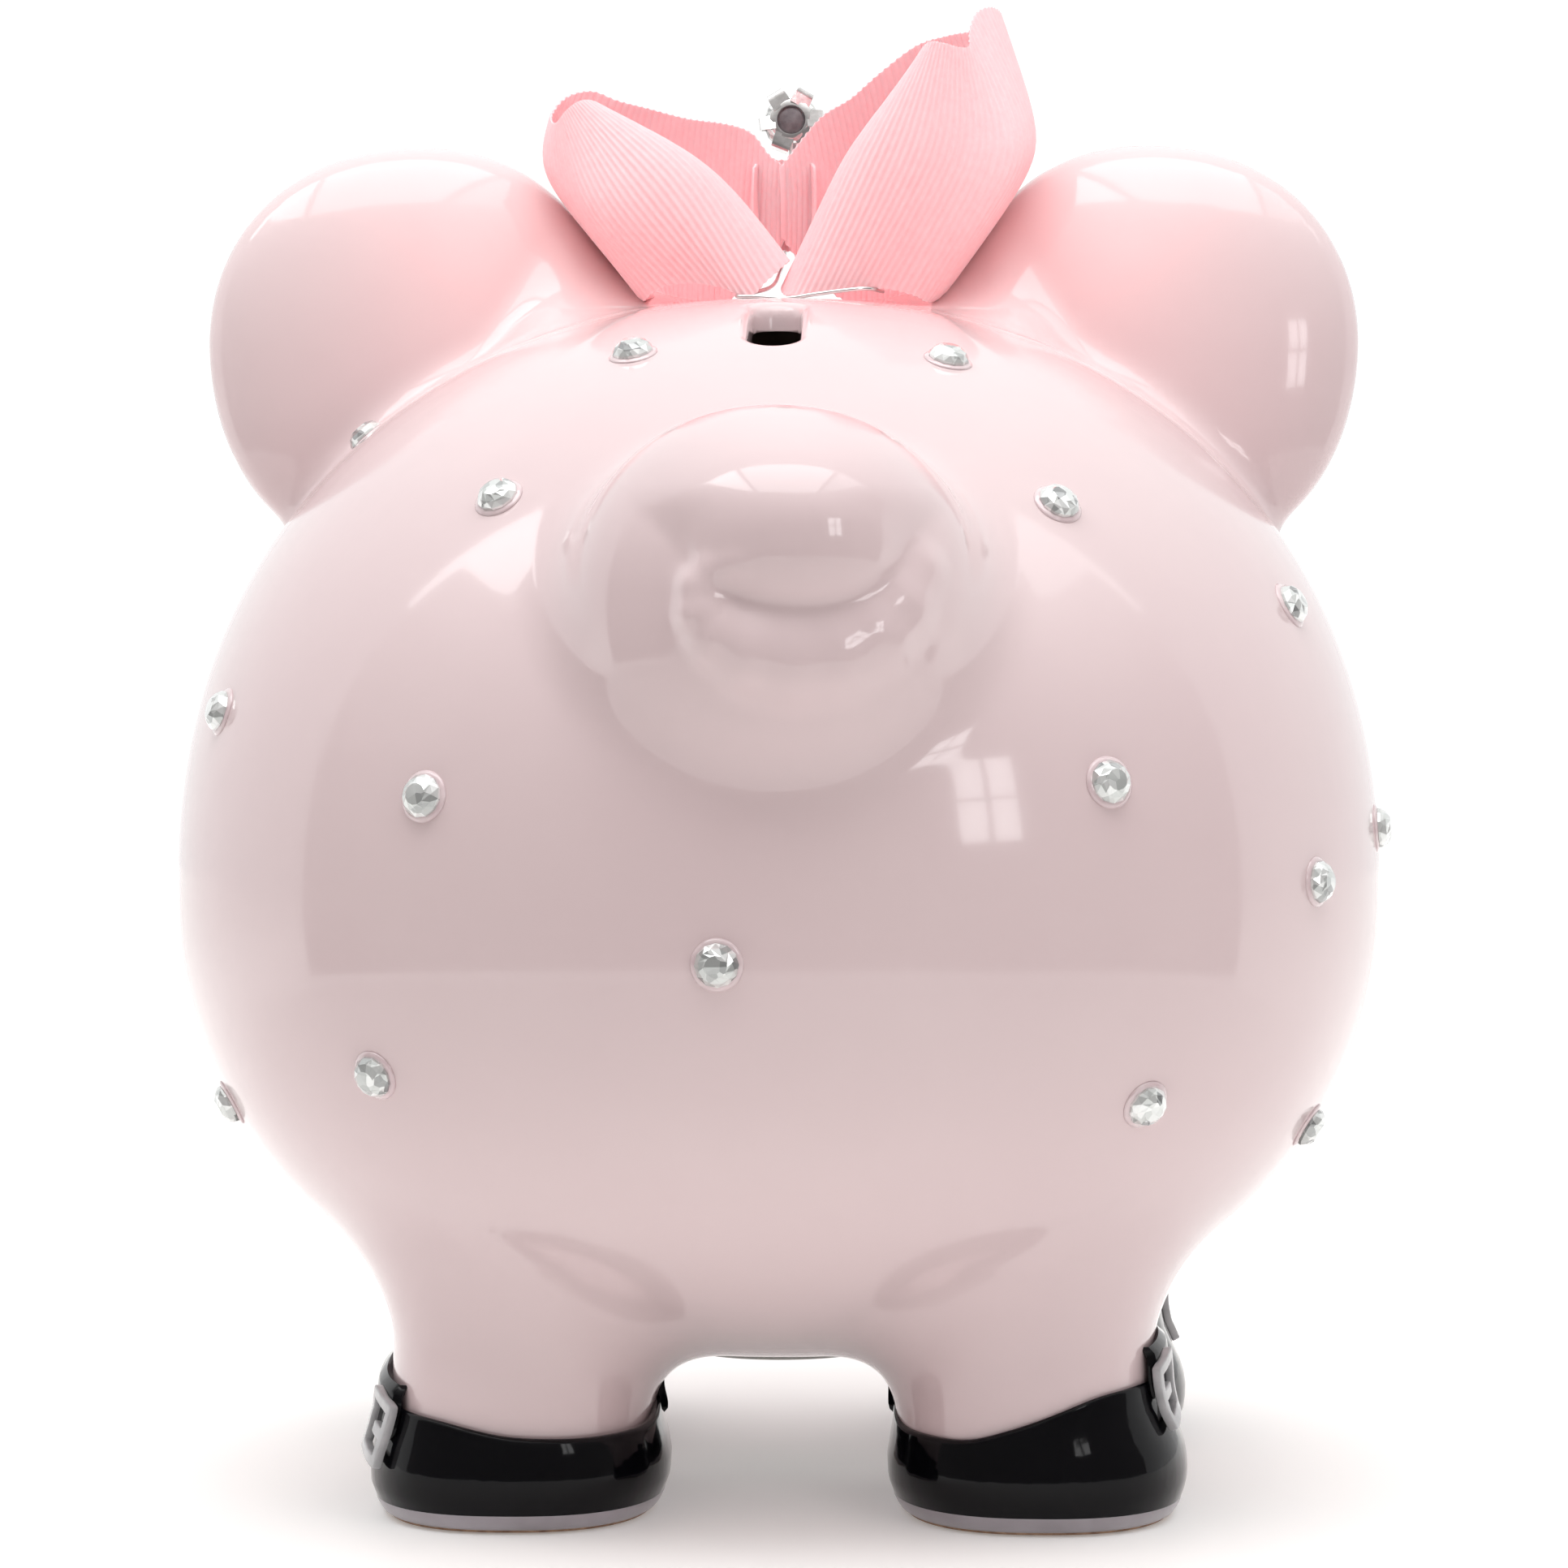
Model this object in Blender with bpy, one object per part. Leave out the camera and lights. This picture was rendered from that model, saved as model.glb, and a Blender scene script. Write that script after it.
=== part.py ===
"""Ceramic pig coin bank: one hollow glazed casting with a coin slot, a rubber stopper in the belly,
a ribbon bow with a jewel, and clear stones glued to the glaze.

Metres, +Z up. The origin is on the ground under the middle of the pig, which faces -Y.
+X is the pig's left side.
"""
import math

import bmesh
import bpy
from mathutils import Matrix, Vector
from mathutils.bvhtree import BVHTree

# Driving dimensions, in metres
GAP = 0.0003            # clearance between pieces that touch
WALL = 0.0045           # thickness of the casting
POWER = 2.2             # roundness of the body, 2 is an ellipsoid
BODY_MID_Z = 0.093      # height of the widest ring
BODY_RX = 0.095
BODY_RY = 0.100
BODY_UP = 0.095         # from the widest ring to the crown
BODY_DOWN = 0.0737      # from the widest ring to the belly
HEAD_LEAN = 0.015       # the crown sits this far forward of the middle

EAR_R = 0.0345
EAR_THICK = 0.0115      # half thickness
EAR_POS = (0.060, -0.020, 0.1795)
EAR_DISH = 0.0055       # hollow in the front of the ear

SNOUT_POS_Z = 0.104
SNOUT_RX = 0.0285
SNOUT_RZ = 0.0215
END_Y = 0.1130          # the snout's face and the tail's tip are both this far from the middle

TAIL_POS = (0.0, 0.0815, 0.1355)
TAIL_R = (0.0295, 0.0265, 0.0290)
TAIL_TIP_POS = (-0.0022, 0.0935, 0.1450)
TAIL_TIP_R = (0.0150, 0.0195, 0.0120)
# The curl under the tip, from the pig's right, below, and up on its left: (place, radius)
TAIL_CURL = (
    ((-0.0185, 0.0890, 0.1440), 0.0040), ((-0.0180, 0.0960, 0.1385), 0.0052),
    ((-0.0140, 0.1000, 0.1325), 0.0058), ((-0.0075, 0.1020, 0.1285), 0.0062),
    ((0.0000, 0.1025, 0.1272), 0.0064), ((0.0070, 0.1020, 0.1290), 0.0062),
    ((0.0120, 0.1005, 0.1335), 0.0057), ((0.0138, 0.0980, 0.1390), 0.0050),
    ((0.0130, 0.0930, 0.1445), 0.0040),
)

FOOT_X = 0.0385         # rear feet, from the middle
FRONT_X = (0.0430, -0.0430)     # front feet, set a little wider than the rear ones
FOOT_REAR_Y = 0.0355
FOOT_FRONT_Y = -0.0395
SHOE_H = 0.0140
SOLE_H = 0.0032

SLOT_W = 0.0082
SLOT_Y = (0.0150, 0.0405)

HOLE_R = 0.0140         # stopper hole in the belly
FLANGE_R = 0.0170
FLANGE_H = 0.0016
SEAT_Z = BODY_MID_Z - BODY_DOWN + 0.0017   # the flange's seat, sunk so that the stopper lies flush
PLUG_TOP_Z = 0.0260

STONE_R = 0.0031
STONE_TABLE_R = 0.0017
STONE_H = 0.0024
# Clear stones, each as (bearing in degrees from the tail towards the pig's left, height in mm)
STONES = (
    (22, 175), (-27, 174), (83, 165), (28, 152), (-30, 151), (-60, 137), (60, 121), (28.5, 109),
    (-29, 111), (-76, 103), (-54, 96), (3.5, 86), (35, 69), (-34.5, 65), (68, 61), (-67, 58),
    (101, 134), (94, 88), (-107, 126), (-106, 74), (116, 112), (-117, 104), (112, 62), (-113, 58),
    (140, 78), (-141, 82), (138, 54), (-138, 48), (163, 60), (-166, 58), (152, 160), (-152, 162),
    (180, 42),
)

RIBBON_BASE_Z = 0.1885
BOW_Y = -0.017
GEM_POS = (-0.001, -0.0335, 0.2205)
SETTING_R = 0.0056
GEM_R = 0.0047


def clear_scene():
    for thing in list(bpy.data.objects):
        bpy.data.objects.remove(thing, do_unlink=True)


def paint(obj, name, colour, roughness, metallic=0.0, coat=0.0, transmission=0.0):
    material = bpy.data.materials.new(name)
    material.use_nodes = True
    shader = material.node_tree.nodes["Principled BSDF"]
    shader.inputs["Base Color"].default_value = (*colour, 1.0)
    shader.inputs["Roughness"].default_value = roughness
    shader.inputs["Metallic"].default_value = metallic
    shader.inputs["Coat Weight"].default_value = coat
    shader.inputs["Transmission Weight"].default_value = transmission
    material.diffuse_color = (*colour, 1.0)
    obj.data.materials.clear()
    obj.data.materials.append(material)


def object_from(bm, name, sharp=40):
    """A mesh object from the bmesh, faces out, smooth except at its edges."""
    bmesh.ops.recalc_face_normals(bm, faces=bm.faces)
    mesh = bpy.data.meshes.new(name)
    bm.to_mesh(mesh)
    bm.free()
    mesh.shade_smooth()
    mesh.set_sharp_from_angle(angle=math.radians(sharp))
    obj = bpy.data.objects.new(name, mesh)
    bpy.context.collection.objects.link(obj)
    return obj


def cutter(obj):
    obj.hide_render = True
    obj.display_type = 'WIRE'
    return obj


def combine(target, other, operation):
    """Boolean of other into target. The other object stays in the scene as a wire guide."""
    step = target.modifiers.new(operation.title() + " " + other.name, 'BOOLEAN')
    step.operation = operation
    step.solver = 'EXACT'
    step.object = other
    cutter(other)


def round_point(direction, radii, power):
    """Where a ray from the middle meets a rounded ball |x/a|^p + |y/b|^p + |z/c|^p = 1."""
    total = sum(abs(direction[i] / radii[i]) ** power for i in range(3))
    return Vector(direction) / total ** (1.0 / power)


def ball(name, centre, radii, segments, rings, power=2.0, turn=None, squeeze=None):
    """A rounded ball. turn is a rotation matrix, squeeze a function that moves a finished point."""
    bm = bmesh.new()
    bmesh.ops.create_uvsphere(bm, u_segments=segments, v_segments=rings, radius=1.0)
    for vert in bm.verts:
        point = round_point(vert.co.normalized() * 1.0, (1.0, 1.0, 1.0), power)
        point = Vector((point.x * radii[0], point.y * radii[1], point.z * radii[2]))
        if squeeze:
            point = squeeze(point)
        if turn:
            point = turn @ point
        vert.co = point + Vector(centre)
    return object_from(bm, name)


def lean(point):
    """The upper half of the body leans forward towards the crown."""
    up = max(0.0, point.z) / BODY_UP
    return Vector((point.x, point.y - HEAD_LEAN * up * up, point.z))


def body_ball(name, inset, segments, rings):
    """The body's outer surface, or the same surface moved in by inset."""
    bm = bmesh.new()
    bmesh.ops.create_uvsphere(bm, u_segments=segments, v_segments=rings, radius=1.0)
    for vert in bm.verts:
        tall = (BODY_UP if vert.co.z > 0 else BODY_DOWN) - inset
        point = round_point(vert.co.normalized(), (1.0, 1.0, 1.0), POWER)
        point = Vector((point.x * (BODY_RX - inset), point.y * (BODY_RY - inset), point.z * tall))
        vert.co = lean(point) + Vector((0, 0, BODY_MID_Z))
    return object_from(bm, name)


def loft(name, rings, segments, power=2.0, plane='XY', sharp=40):
    """A closed solid through rings of (centre, half width, half depth)."""
    bm = bmesh.new()
    loops = []
    for centre, wide, deep in rings:
        ring = bmesh.ops.create_circle(bm, cap_ends=False, radius=1.0, segments=segments)["verts"]
        for vert in ring:
            point = round_point((vert.co.x, vert.co.y, 0.0), (1.0, 1.0, 1.0), power)
            if plane == 'XY':
                vert.co = Vector((point.x * wide, point.y * deep, 0.0)) + Vector(centre)
            else:
                vert.co = Vector((point.x * wide, 0.0, point.y * deep)) + Vector(centre)
        loops.append(ring)
    for low, high in zip(loops, loops[1:]):
        edges = [e for e in bm.edges if (e.verts[0] in low and e.verts[1] in low)
                 or (e.verts[0] in high and e.verts[1] in high)]
        bmesh.ops.bridge_loops(bm, edges=edges)
    bm.faces.new(loops[0])
    bm.faces.new(loops[-1])
    return object_from(bm, name, sharp)


def foot(name, x, y, reach):
    """One leg with its moulded shoe and sole, from the ground up into the belly."""
    side = math.copysign(1.0, x)
    rings = [
        ((x, y, 0.0), 0.0205, reach - 0.0030),
        ((x, y, SOLE_H), 0.0218, reach - 0.0014),
        ((x, y, SOLE_H + 0.0022), 0.0228, reach),
        ((x, y, SHOE_H - 0.004), 0.0228, reach - 0.0002),
        ((x, y, SHOE_H), 0.0212, reach - 0.0022),
        ((x - side * 0.0012, y, SHOE_H + 0.005), 0.0200, reach - 0.0034),
        ((x - side * 0.0016, y, 0.027), 0.0198, reach - 0.0036),
        ((x - side * 0.0012, y, 0.038), 0.0210, reach - 0.0030),
        ((x - side * 0.0010, y * 0.96, 0.050), 0.0215, reach - 0.0060),
    ]
    return loft(name, rings, 24, power=2.5)


def ear(name, side):
    def dish(point):
        out = min(1.0, math.hypot(point.x, point.z) / (EAR_R * 0.78))
        if point.y < 0:
            return Vector((point.x, point.y + EAR_DISH * (1 - out * out) ** 1.2, point.z))
        return point
    turn = Matrix.Rotation(math.radians(side * 14), 3, 'Z') @ Matrix.Rotation(math.radians(side * 9), 3, 'Y')
    centre = (side * EAR_POS[0], EAR_POS[1], EAR_POS[2])
    return ball(name, centre, (EAR_R, EAR_THICK, EAR_R), 28, 16, turn=turn, squeeze=dish)


def casting():
    """The ceramic: outer shape united, then the hollow, the coin slot and the stopper hole cut out."""
    body = body_ball("ceramic_body", 0.0, 44, 24)
    feet = []
    for side, word, front_x in ((1, "left", FRONT_X[0]), (-1, "right", FRONT_X[1])):
        combine(body, ear("ear_" + word, side), 'UNION')
        feet.append(("rear_" + word, side * FOOT_X, FOOT_REAR_Y))
        feet.append(("front_" + word, front_x, FOOT_FRONT_Y))
    for word, x, y in feet:
        combine(body, foot("foot_" + word, x, y, 0.0290), 'UNION')

    snout = loft("snout", [
        ((0.0, -0.080, SNOUT_POS_Z), SNOUT_RX + 0.002, SNOUT_RZ + 0.002),
        ((0.0, -0.096, SNOUT_POS_Z), SNOUT_RX, SNOUT_RZ),
        ((0.0, -END_Y + 0.0040, SNOUT_POS_Z), SNOUT_RX, SNOUT_RZ),
        ((0.0, -END_Y + 0.0012, SNOUT_POS_Z), SNOUT_RX - 0.0012, SNOUT_RZ - 0.0012),
        ((0.0, -END_Y, SNOUT_POS_Z), SNOUT_RX - 0.0042, SNOUT_RZ - 0.0042),
    ], 28, plane='XZ')
    combine(body, snout, 'UNION')
    for side in (1, -1):
        nostril = ball("nostril_%s" % ("left" if side > 0 else "right"),
                       (side * 0.0105, -END_Y, SNOUT_POS_Z + 0.001), (0.0036, 0.0035, 0.0056), 10, 6)
        combine(body, nostril, 'DIFFERENCE')

    combine(body, ball("tail_root", TAIL_POS, TAIL_R, 28, 16), 'UNION')
    combine(body, ball("tail_tip", TAIL_TIP_POS, TAIL_TIP_R, 20, 12), 'UNION')
    combine(body, tube("tail_curl", TAIL_CURL, 12), 'UNION')

    combine(body, body_ball("hollow", WALL, 28, 16), 'DIFFERENCE')
    for word, x, y in feet:
        inside = ball("leg_hollow_" + word, (x - math.copysign(0.001, x), y * 0.98, 0.030),
                      (0.0158, 0.0222, 0.0255), 12, 8)
        combine(body, inside, 'DIFFERENCE')
    for side, word in ((1, "left"), (-1, "right")):
        inside = ball("ear_hollow_" + word, (side * 0.0565, EAR_POS[1] + 0.0030, 0.1740),
                      (0.0270, 0.0038, 0.0270), 14, 8,
                      turn=Matrix.Rotation(math.radians(side * 14), 3, 'Z'))
        combine(body, inside, 'DIFFERENCE')

    combine(body, coin_slot(), 'DIFFERENCE')
    hole = loft("stopper_hole", [((0, 0, 0.010), HOLE_R, HOLE_R), ((0, 0, 0.030), HOLE_R, HOLE_R)], 28)
    combine(body, hole, 'DIFFERENCE')
    seat = loft("stopper_seat", [((0, 0, 0.008), FLANGE_R + 0.0006, FLANGE_R + 0.0006),
                                 ((0, 0, SEAT_Z), FLANGE_R + 0.0006, FLANGE_R + 0.0006)], 28)
    combine(body, seat, 'DIFFERENCE')
    paint(body, "Pink glaze", (0.86, 0.66, 0.68), 0.09, coat=0.4)
    return body


def tube(name, stations, sides):
    """A closed tube through (place, radius) stations, its rings square to the path."""
    bm = bmesh.new()
    places = [Vector(p) for p, _ in stations]
    loops = []
    for i, (place, (_, radius)) in enumerate(zip(places, stations)):
        along = (places[min(i + 1, len(places) - 1)] - places[max(i - 1, 0)]).normalized()
        side = along.cross(Vector((0, 1, 0))).normalized()
        up = side.cross(along)
        loops.append([bm.verts.new(place + radius * (side * math.cos(2 * math.pi * k / sides)
                                                     + up * math.sin(2 * math.pi * k / sides)))
                      for k in range(sides)])
    for one, two in zip(loops, loops[1:]):
        for k in range(sides):
            m = (k + 1) % sides
            bm.faces.new((one[k], one[m], two[m], two[k]))
    bm.faces.new(loops[0])
    bm.faces.new(loops[-1])
    return object_from(bm, name)


def coin_slot():
    """A slot with round ends, cut straight down through the crown."""
    bm = bmesh.new()
    half = SLOT_W / 2
    points = []
    for end, start in ((SLOT_Y[1] - half, 0.0), (SLOT_Y[0] + half, math.pi)):
        for i in range(7):
            angle = start + math.pi * i / 6
            points.append(bm.verts.new((half * math.cos(angle), end + half * math.sin(angle), 0.155)))
    face = bm.faces.new(points)
    top = bmesh.ops.extrude_face_region(bm, geom=[face])
    verts = [v for v in top["geom"] if isinstance(v, bmesh.types.BMVert)]
    bmesh.ops.translate(bm, verts=verts, vec=(0, 0, 0.05))
    return object_from(bm, "coin_slot")


def stopper():
    """Rubber plug. Its origin is on the axis it pulls out along."""
    neck = HOLE_R - GAP
    low = SEAT_Z - GAP
    rings = [
        ((0, 0, low - FLANGE_H), FLANGE_R - 0.0010, FLANGE_R - 0.0010),
        ((0, 0, low - FLANGE_H + 0.0010), FLANGE_R, FLANGE_R),
        ((0, 0, low), FLANGE_R, FLANGE_R),
        ((0, 0, low + 0.0001), neck, neck),
        ((0, 0, PLUG_TOP_Z - 0.0015), neck, neck),
        ((0, 0, PLUG_TOP_Z), neck - 0.0015, neck - 0.0015),
    ]
    plug = loft("coin_stopper", [((c[0], c[1], c[2] - SEAT_Z), w, d) for c, w, d in rings], 28)
    plug.location = (0, 0, SEAT_Z)
    paint(plug, "Clear rubber", (0.80, 0.80, 0.78), 0.5)


def stone_mesh(radius, table_r, height):
    """A faceted stone with a flat back on z = 0, its table up +Z."""
    bm = bmesh.new()
    sides = 8
    rows = ((0.0, radius * 0.94, 0.0), (height * 0.22, radius, 0.0), (height, table_r, 0.5))
    loops = []
    for z, r, shift in rows:
        loops.append([bm.verts.new((r * math.cos(2 * math.pi * (i + shift) / sides),
                                    r * math.sin(2 * math.pi * (i + shift) / sides), z))
                      for i in range(sides)])
    bm.faces.new(loops[0])
    bm.faces.new(loops[2])
    for i in range(sides):
        j = (i + 1) % sides
        bm.faces.new((loops[0][i], loops[0][j], loops[1][j], loops[1][i]))
        bm.faces.new((loops[1][i], loops[1][j], loops[2][i]))
        bm.faces.new((loops[1][j], loops[2][j], loops[2][i]))
    bmesh.ops.recalc_face_normals(bm, faces=bm.faces)
    mesh = bpy.data.meshes.new("stone")
    bm.to_mesh(mesh)
    bm.free()
    return mesh


def stones():
    """Each stone sits flat on the glaze where its bearing and height meet the body."""
    guide = cutter(body_ball("stone_guide", 0.0, 44, 24))
    skin = BVHTree.FromPolygons([v.co.copy() for v in guide.data.vertices],
                                [tuple(p.vertices) for p in guide.data.polygons])
    mesh = stone_mesh(STONE_R, STONE_TABLE_R, STONE_H)
    for number, (bearing, height) in enumerate(STONES, 1):
        angle = math.radians(bearing)
        out = Vector((math.sin(angle), math.cos(angle), 0.0))
        up = max(0.0, height / 1000 - BODY_MID_Z) / BODY_UP
        start = Vector((0, -HEAD_LEAN * up * up, height / 1000))
        place, normal, _, _ = skin.ray_cast(start, out)
        stone = bpy.data.objects.new("rhinestone_%02d" % number, mesh)
        bpy.context.collection.objects.link(stone)
        stone.rotation_mode = 'QUATERNION'
        stone.rotation_quaternion = normal.to_track_quat('Z', 'Y')
        stone.location = place + normal * GAP
        if number == 1:
            paint(stone, "Foiled crystal", (0.86, 0.88, 0.90), 0.06, metallic=0.6)


def lobe(name, base, tip, wide, deep, swell):
    """One puffed loop of ribbon as a plain closed form from its pinch to its end."""
    base, tip = Vector(base), Vector(tip)
    axis = (tip - base).normalized()
    back = Vector((0, 1, 0))
    across = axis.cross(back).normalized()
    bm = bmesh.new()
    loops = []
    steps = 6
    for s in range(steps + 1):
        t = s / steps
        middle = base.lerp(tip, t)
        w = wide[0] + (wide[1] - wide[0]) * t + swell * math.sin(math.pi * t)
        d = deep[0] + (deep[1] - deep[0]) * t + swell * 0.8 * math.sin(math.pi * t)
        ring = []
        for i in range(16):
            a = 2 * math.pi * i / 16
            ring.append(bm.verts.new(middle + across * (w * math.cos(a)) + back * (d * math.sin(a))))
        loops.append(ring)
    for low, high in zip(loops, loops[1:]):
        for i in range(16):
            j = (i + 1) % 16
            bm.faces.new((low[i], low[j], high[j], high[i]))
    bm.faces.new(loops[0])
    bm.faces.new(loops[-1])
    obj = object_from(bm, name)
    paint(obj, name + " ribbon", (0.98, 0.62, 0.64), 0.55)
    return obj


def bow():
    lobe("bow_loop_left", (0.0125, BOW_Y + 0.004, 0.1962), (0.0330, BOW_Y + 0.001, 0.2145),
         (0.0095, 0.0125), (0.0080, 0.0105), 0.0015)
    lobe("bow_loop_right", (-0.0140, BOW_Y + 0.004, 0.1905), (-0.0310, BOW_Y + 0.001, 0.2300),
         (0.0120, 0.0110), (0.0085, 0.0100), 0.0015)
    bm = bmesh.new()
    bmesh.ops.create_cube(bm, size=1.0)
    bmesh.ops.scale(bm, vec=(0.0240, 0.0040, 0.0150), verts=bm.verts)
    bmesh.ops.bevel(bm, geom=bm.edges[:], offset=0.0012, segments=2, affect='EDGES')
    bmesh.ops.translate(bm, vec=(-0.001, BOW_Y - 0.0135, 0.2050), verts=bm.verts)
    band = object_from(bm, "bow_front_band")
    paint(band, "Front ribbon", (0.98, 0.62, 0.64), 0.55)


def jewel():
    """Pronged setting on the front of the bow, its stone facing forward, and the wire that ties it on."""
    turn = Matrix.Rotation(math.radians(90), 3, 'X')
    bm = bmesh.new()
    rows = ((0.0000, 0.0022), (0.0000, SETTING_R), (0.0022, SETTING_R), (0.0022, GEM_R + GAP),
            (0.0010, GEM_R - 0.0012), (0.0010, 0.0022))
    loops = [[bm.verts.new((r * math.cos(2 * math.pi * i / 12), r * math.sin(2 * math.pi * i / 12), z))
              for i in range(12)] for z, r in rows]
    for one, two in zip(loops, loops[1:] + loops[:1]):
        for i in range(12):
            j = (i + 1) % 12
            bm.faces.new((one[i], one[j], two[j], two[i]))
    for vert in bm.verts:
        vert.co = turn @ vert.co
    setting = object_from(bm, "gem_setting")
    setting.location = GEM_POS
    paint(setting, "Silver plate", (0.80, 0.80, 0.82), 0.18, metallic=1.0)

    bm = bmesh.new()
    rows = ((0.0022 + GAP, GEM_R - 0.0002, 0.0), (0.0036, GEM_R, 0.0), (0.0058, GEM_R * 0.55, 0.5))
    loops = [[bm.verts.new((r * math.cos(2 * math.pi * (i + s) / 8), r * math.sin(2 * math.pi * (i + s) / 8), z))
              for i in range(8)] for z, r, s in rows]
    bm.faces.new(loops[0])
    bm.faces.new(loops[2])
    for i in range(8):
        j = (i + 1) % 8
        bm.faces.new((loops[0][i], loops[0][j], loops[1][j], loops[1][i]))
        bm.faces.new((loops[1][i], loops[1][j], loops[2][i]))
        bm.faces.new((loops[1][j], loops[2][j], loops[2][i]))
    for vert in bm.verts:
        vert.co = turn @ vert.co
    gem = object_from(bm, "bow_gem", 20)
    gem.location = GEM_POS
    paint(gem, "Cut crystal", (0.90, 0.92, 0.95), 0.03, transmission=0.6)

    line = bpy.data.curves.new("bow_tie_wire", 'CURVE')
    line.dimensions = '3D'
    line.bevel_depth = 0.0004
    line.bevel_resolution = 1
    line.use_fill_caps = True
    spline = line.splines.new('POLY')
    x, y, z = GEM_POS
    behind = BOW_Y - 0.0108
    route = ((x, y + 0.0004 + GAP, z - 0.0040), (x, y + 0.0010, z - 0.0055),
             (x - 0.0002, behind, z - 0.0068), (x - 0.0003, behind, z - 0.0230),
             (x - 0.0006, behind + 0.0004, z - 0.0290), (x - 0.0010, behind + 0.0015, z - 0.0312))
    spline.points.add(len(route) - 1)
    for point, place in zip(spline.points, route):
        point.co = (*place, 1.0)
    wire = bpy.data.objects.new("bow_tie_wire", line)
    bpy.context.collection.objects.link(wire)
    paint(wire, "Silver wire", (0.75, 0.75, 0.77), 0.25, metallic=1.0)


clear_scene()
casting()
stopper()
stones()
bow()
jewel()
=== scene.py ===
"""Looks for the ceramic pig coin bank: pink glazed casting, black strap shoes, clear stones and a bow."""
import math
from collections import namedtuple

import bpy
import numpy as np
from mathutils import Matrix, Vector


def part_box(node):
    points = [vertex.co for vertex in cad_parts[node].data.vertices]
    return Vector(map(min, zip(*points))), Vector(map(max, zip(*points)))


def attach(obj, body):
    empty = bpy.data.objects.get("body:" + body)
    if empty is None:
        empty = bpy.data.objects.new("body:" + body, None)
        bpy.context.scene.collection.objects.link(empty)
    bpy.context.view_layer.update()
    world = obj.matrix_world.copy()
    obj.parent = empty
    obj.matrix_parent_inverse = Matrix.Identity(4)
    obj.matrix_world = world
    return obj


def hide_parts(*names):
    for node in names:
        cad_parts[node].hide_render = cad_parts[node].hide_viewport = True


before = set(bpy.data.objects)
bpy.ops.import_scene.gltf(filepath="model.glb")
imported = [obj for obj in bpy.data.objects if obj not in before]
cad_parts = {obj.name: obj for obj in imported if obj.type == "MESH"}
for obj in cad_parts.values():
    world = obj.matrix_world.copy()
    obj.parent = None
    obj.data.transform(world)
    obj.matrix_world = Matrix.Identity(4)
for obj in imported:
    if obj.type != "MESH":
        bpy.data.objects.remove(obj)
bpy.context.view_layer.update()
BANK, STOPPER = "bank", "stopper"

# ---------------------------------------------------------------- sizes, in metres
MID_Z = 0.093                     # widest ring of the body
BODY = (0.095, 0.100)             # half width, half depth
BODY_UP, BODY_DOWN = 0.095, 0.0737
BODY_POWER = 2.2
HEAD_LEAN = 0.015
WALL = 0.0045
EAR_AT = (0.0600, -0.0200, 0.1795)
EAR_R, EAR_HALF, EAR_DISH = 0.0345, 0.0115, 0.0060
SNOUT_Z, SNOUT_W, SNOUT_H, END_Y = 0.104, 0.0285, 0.0215, 0.1130
SLOT_W, SLOT_ENDS = 0.0074, (0.0150, 0.0405)
HOLE_R, SEAT_R, SEAT_Z = 0.0140, 0.0176, 0.0210
TAIL_AT, TAIL_R = (-0.0015, 0.0815, 0.1355), (0.0295, 0.0265, 0.0290)
TIP_AT, TIP_R = (-0.0038, 0.0935, 0.1448), (0.0172, 0.0190, 0.0135)
# The tail's curl: from its right, under the tip, and up on its left, as (place, radius)
CURL = (((-0.0210, 0.0980, 0.1400), 0.0030), ((-0.0186, 0.1001, 0.1356), 0.0042),
        ((-0.0150, 0.1016, 0.1316), 0.0052), ((-0.0099, 0.1030, 0.1290), 0.0058),
        ((-0.0040, 0.1041, 0.1283), 0.0060), ((0.0012, 0.1052, 0.1293), 0.0054),
        ((0.0052, 0.1059, 0.1314), 0.0044), ((0.0075, 0.1065, 0.1344), 0.0034),
        ((0.0078, 0.1066, 0.1376), 0.0028), ((0.0059, 0.1073, 0.1404), 0.0024),
        ((0.0024, 0.1096, 0.1412), 0.0018))
SLOT_LIP, SEAT_LIP = 0.0024, 0.0012
LEG_FILLET, SNOUT_FILLET, CURL_FILLET = 0.0125, 0.0045, 0.0034
NOSTRIL_X, NOSTRIL_R = 0.0105, (0.0034, 0.0042, 0.0056)
SMILE_AT, SMILE_W, SMILE_H, SMILE_R = (-0.0955, 0.0850), 0.0175, 0.0145, 0.0015
# A leg from its sole up: heights, half widths and half depths
LEG = ((0.0, 0.016, 0.028, 0.040, 0.055, 0.072), (0.0196, 0.0196, 0.0192, 0.0200, 0.0175, 0.011),
       (0.0256, 0.0256, 0.0250, 0.0252, 0.0215, 0.014))
LEG_POWER = 2.4
# inside, back and outside are the heights of the shoe's edge there. buckle is the buckle's height, bearing
# its angle back from the foot's outer side in degrees, and lean how far the shoe's lower part stands out
Foot = namedtuple("Foot", "name x y inside back outside buckle bearing lean")
FEET = (Foot("rear_left", 0.0385, 0.0355, 0.0140, 0.0140, 0.0172, 0.0143, 38, 0.0),
        Foot("rear_right", -0.0385, 0.0355, 0.0138, 0.0165, 0.0212, 0.0200, 31, 0.0016),
        Foot("front_left", 0.0430, -0.0395, 0.0140, 0.0160, 0.0215, 0.0190, -26, 0.0008),
        Foot("front_right", -0.0430, -0.0395, 0.0140, 0.0165, 0.0246, 0.0195, -26, 0.0018))


# ---------------------------------------------------------------- small helpers
def deselect():
    if bpy.context.object and bpy.context.object.mode != 'OBJECT':
        bpy.ops.object.mode_set(mode='OBJECT')
    bpy.ops.object.select_all(action='DESELECT')


def only(obj):
    deselect()
    obj.select_set(True)
    bpy.context.view_layer.objects.active = obj


def apply_all(obj):
    only(obj)
    bpy.ops.object.transform_apply(location=True, rotation=True, scale=True)


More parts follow.
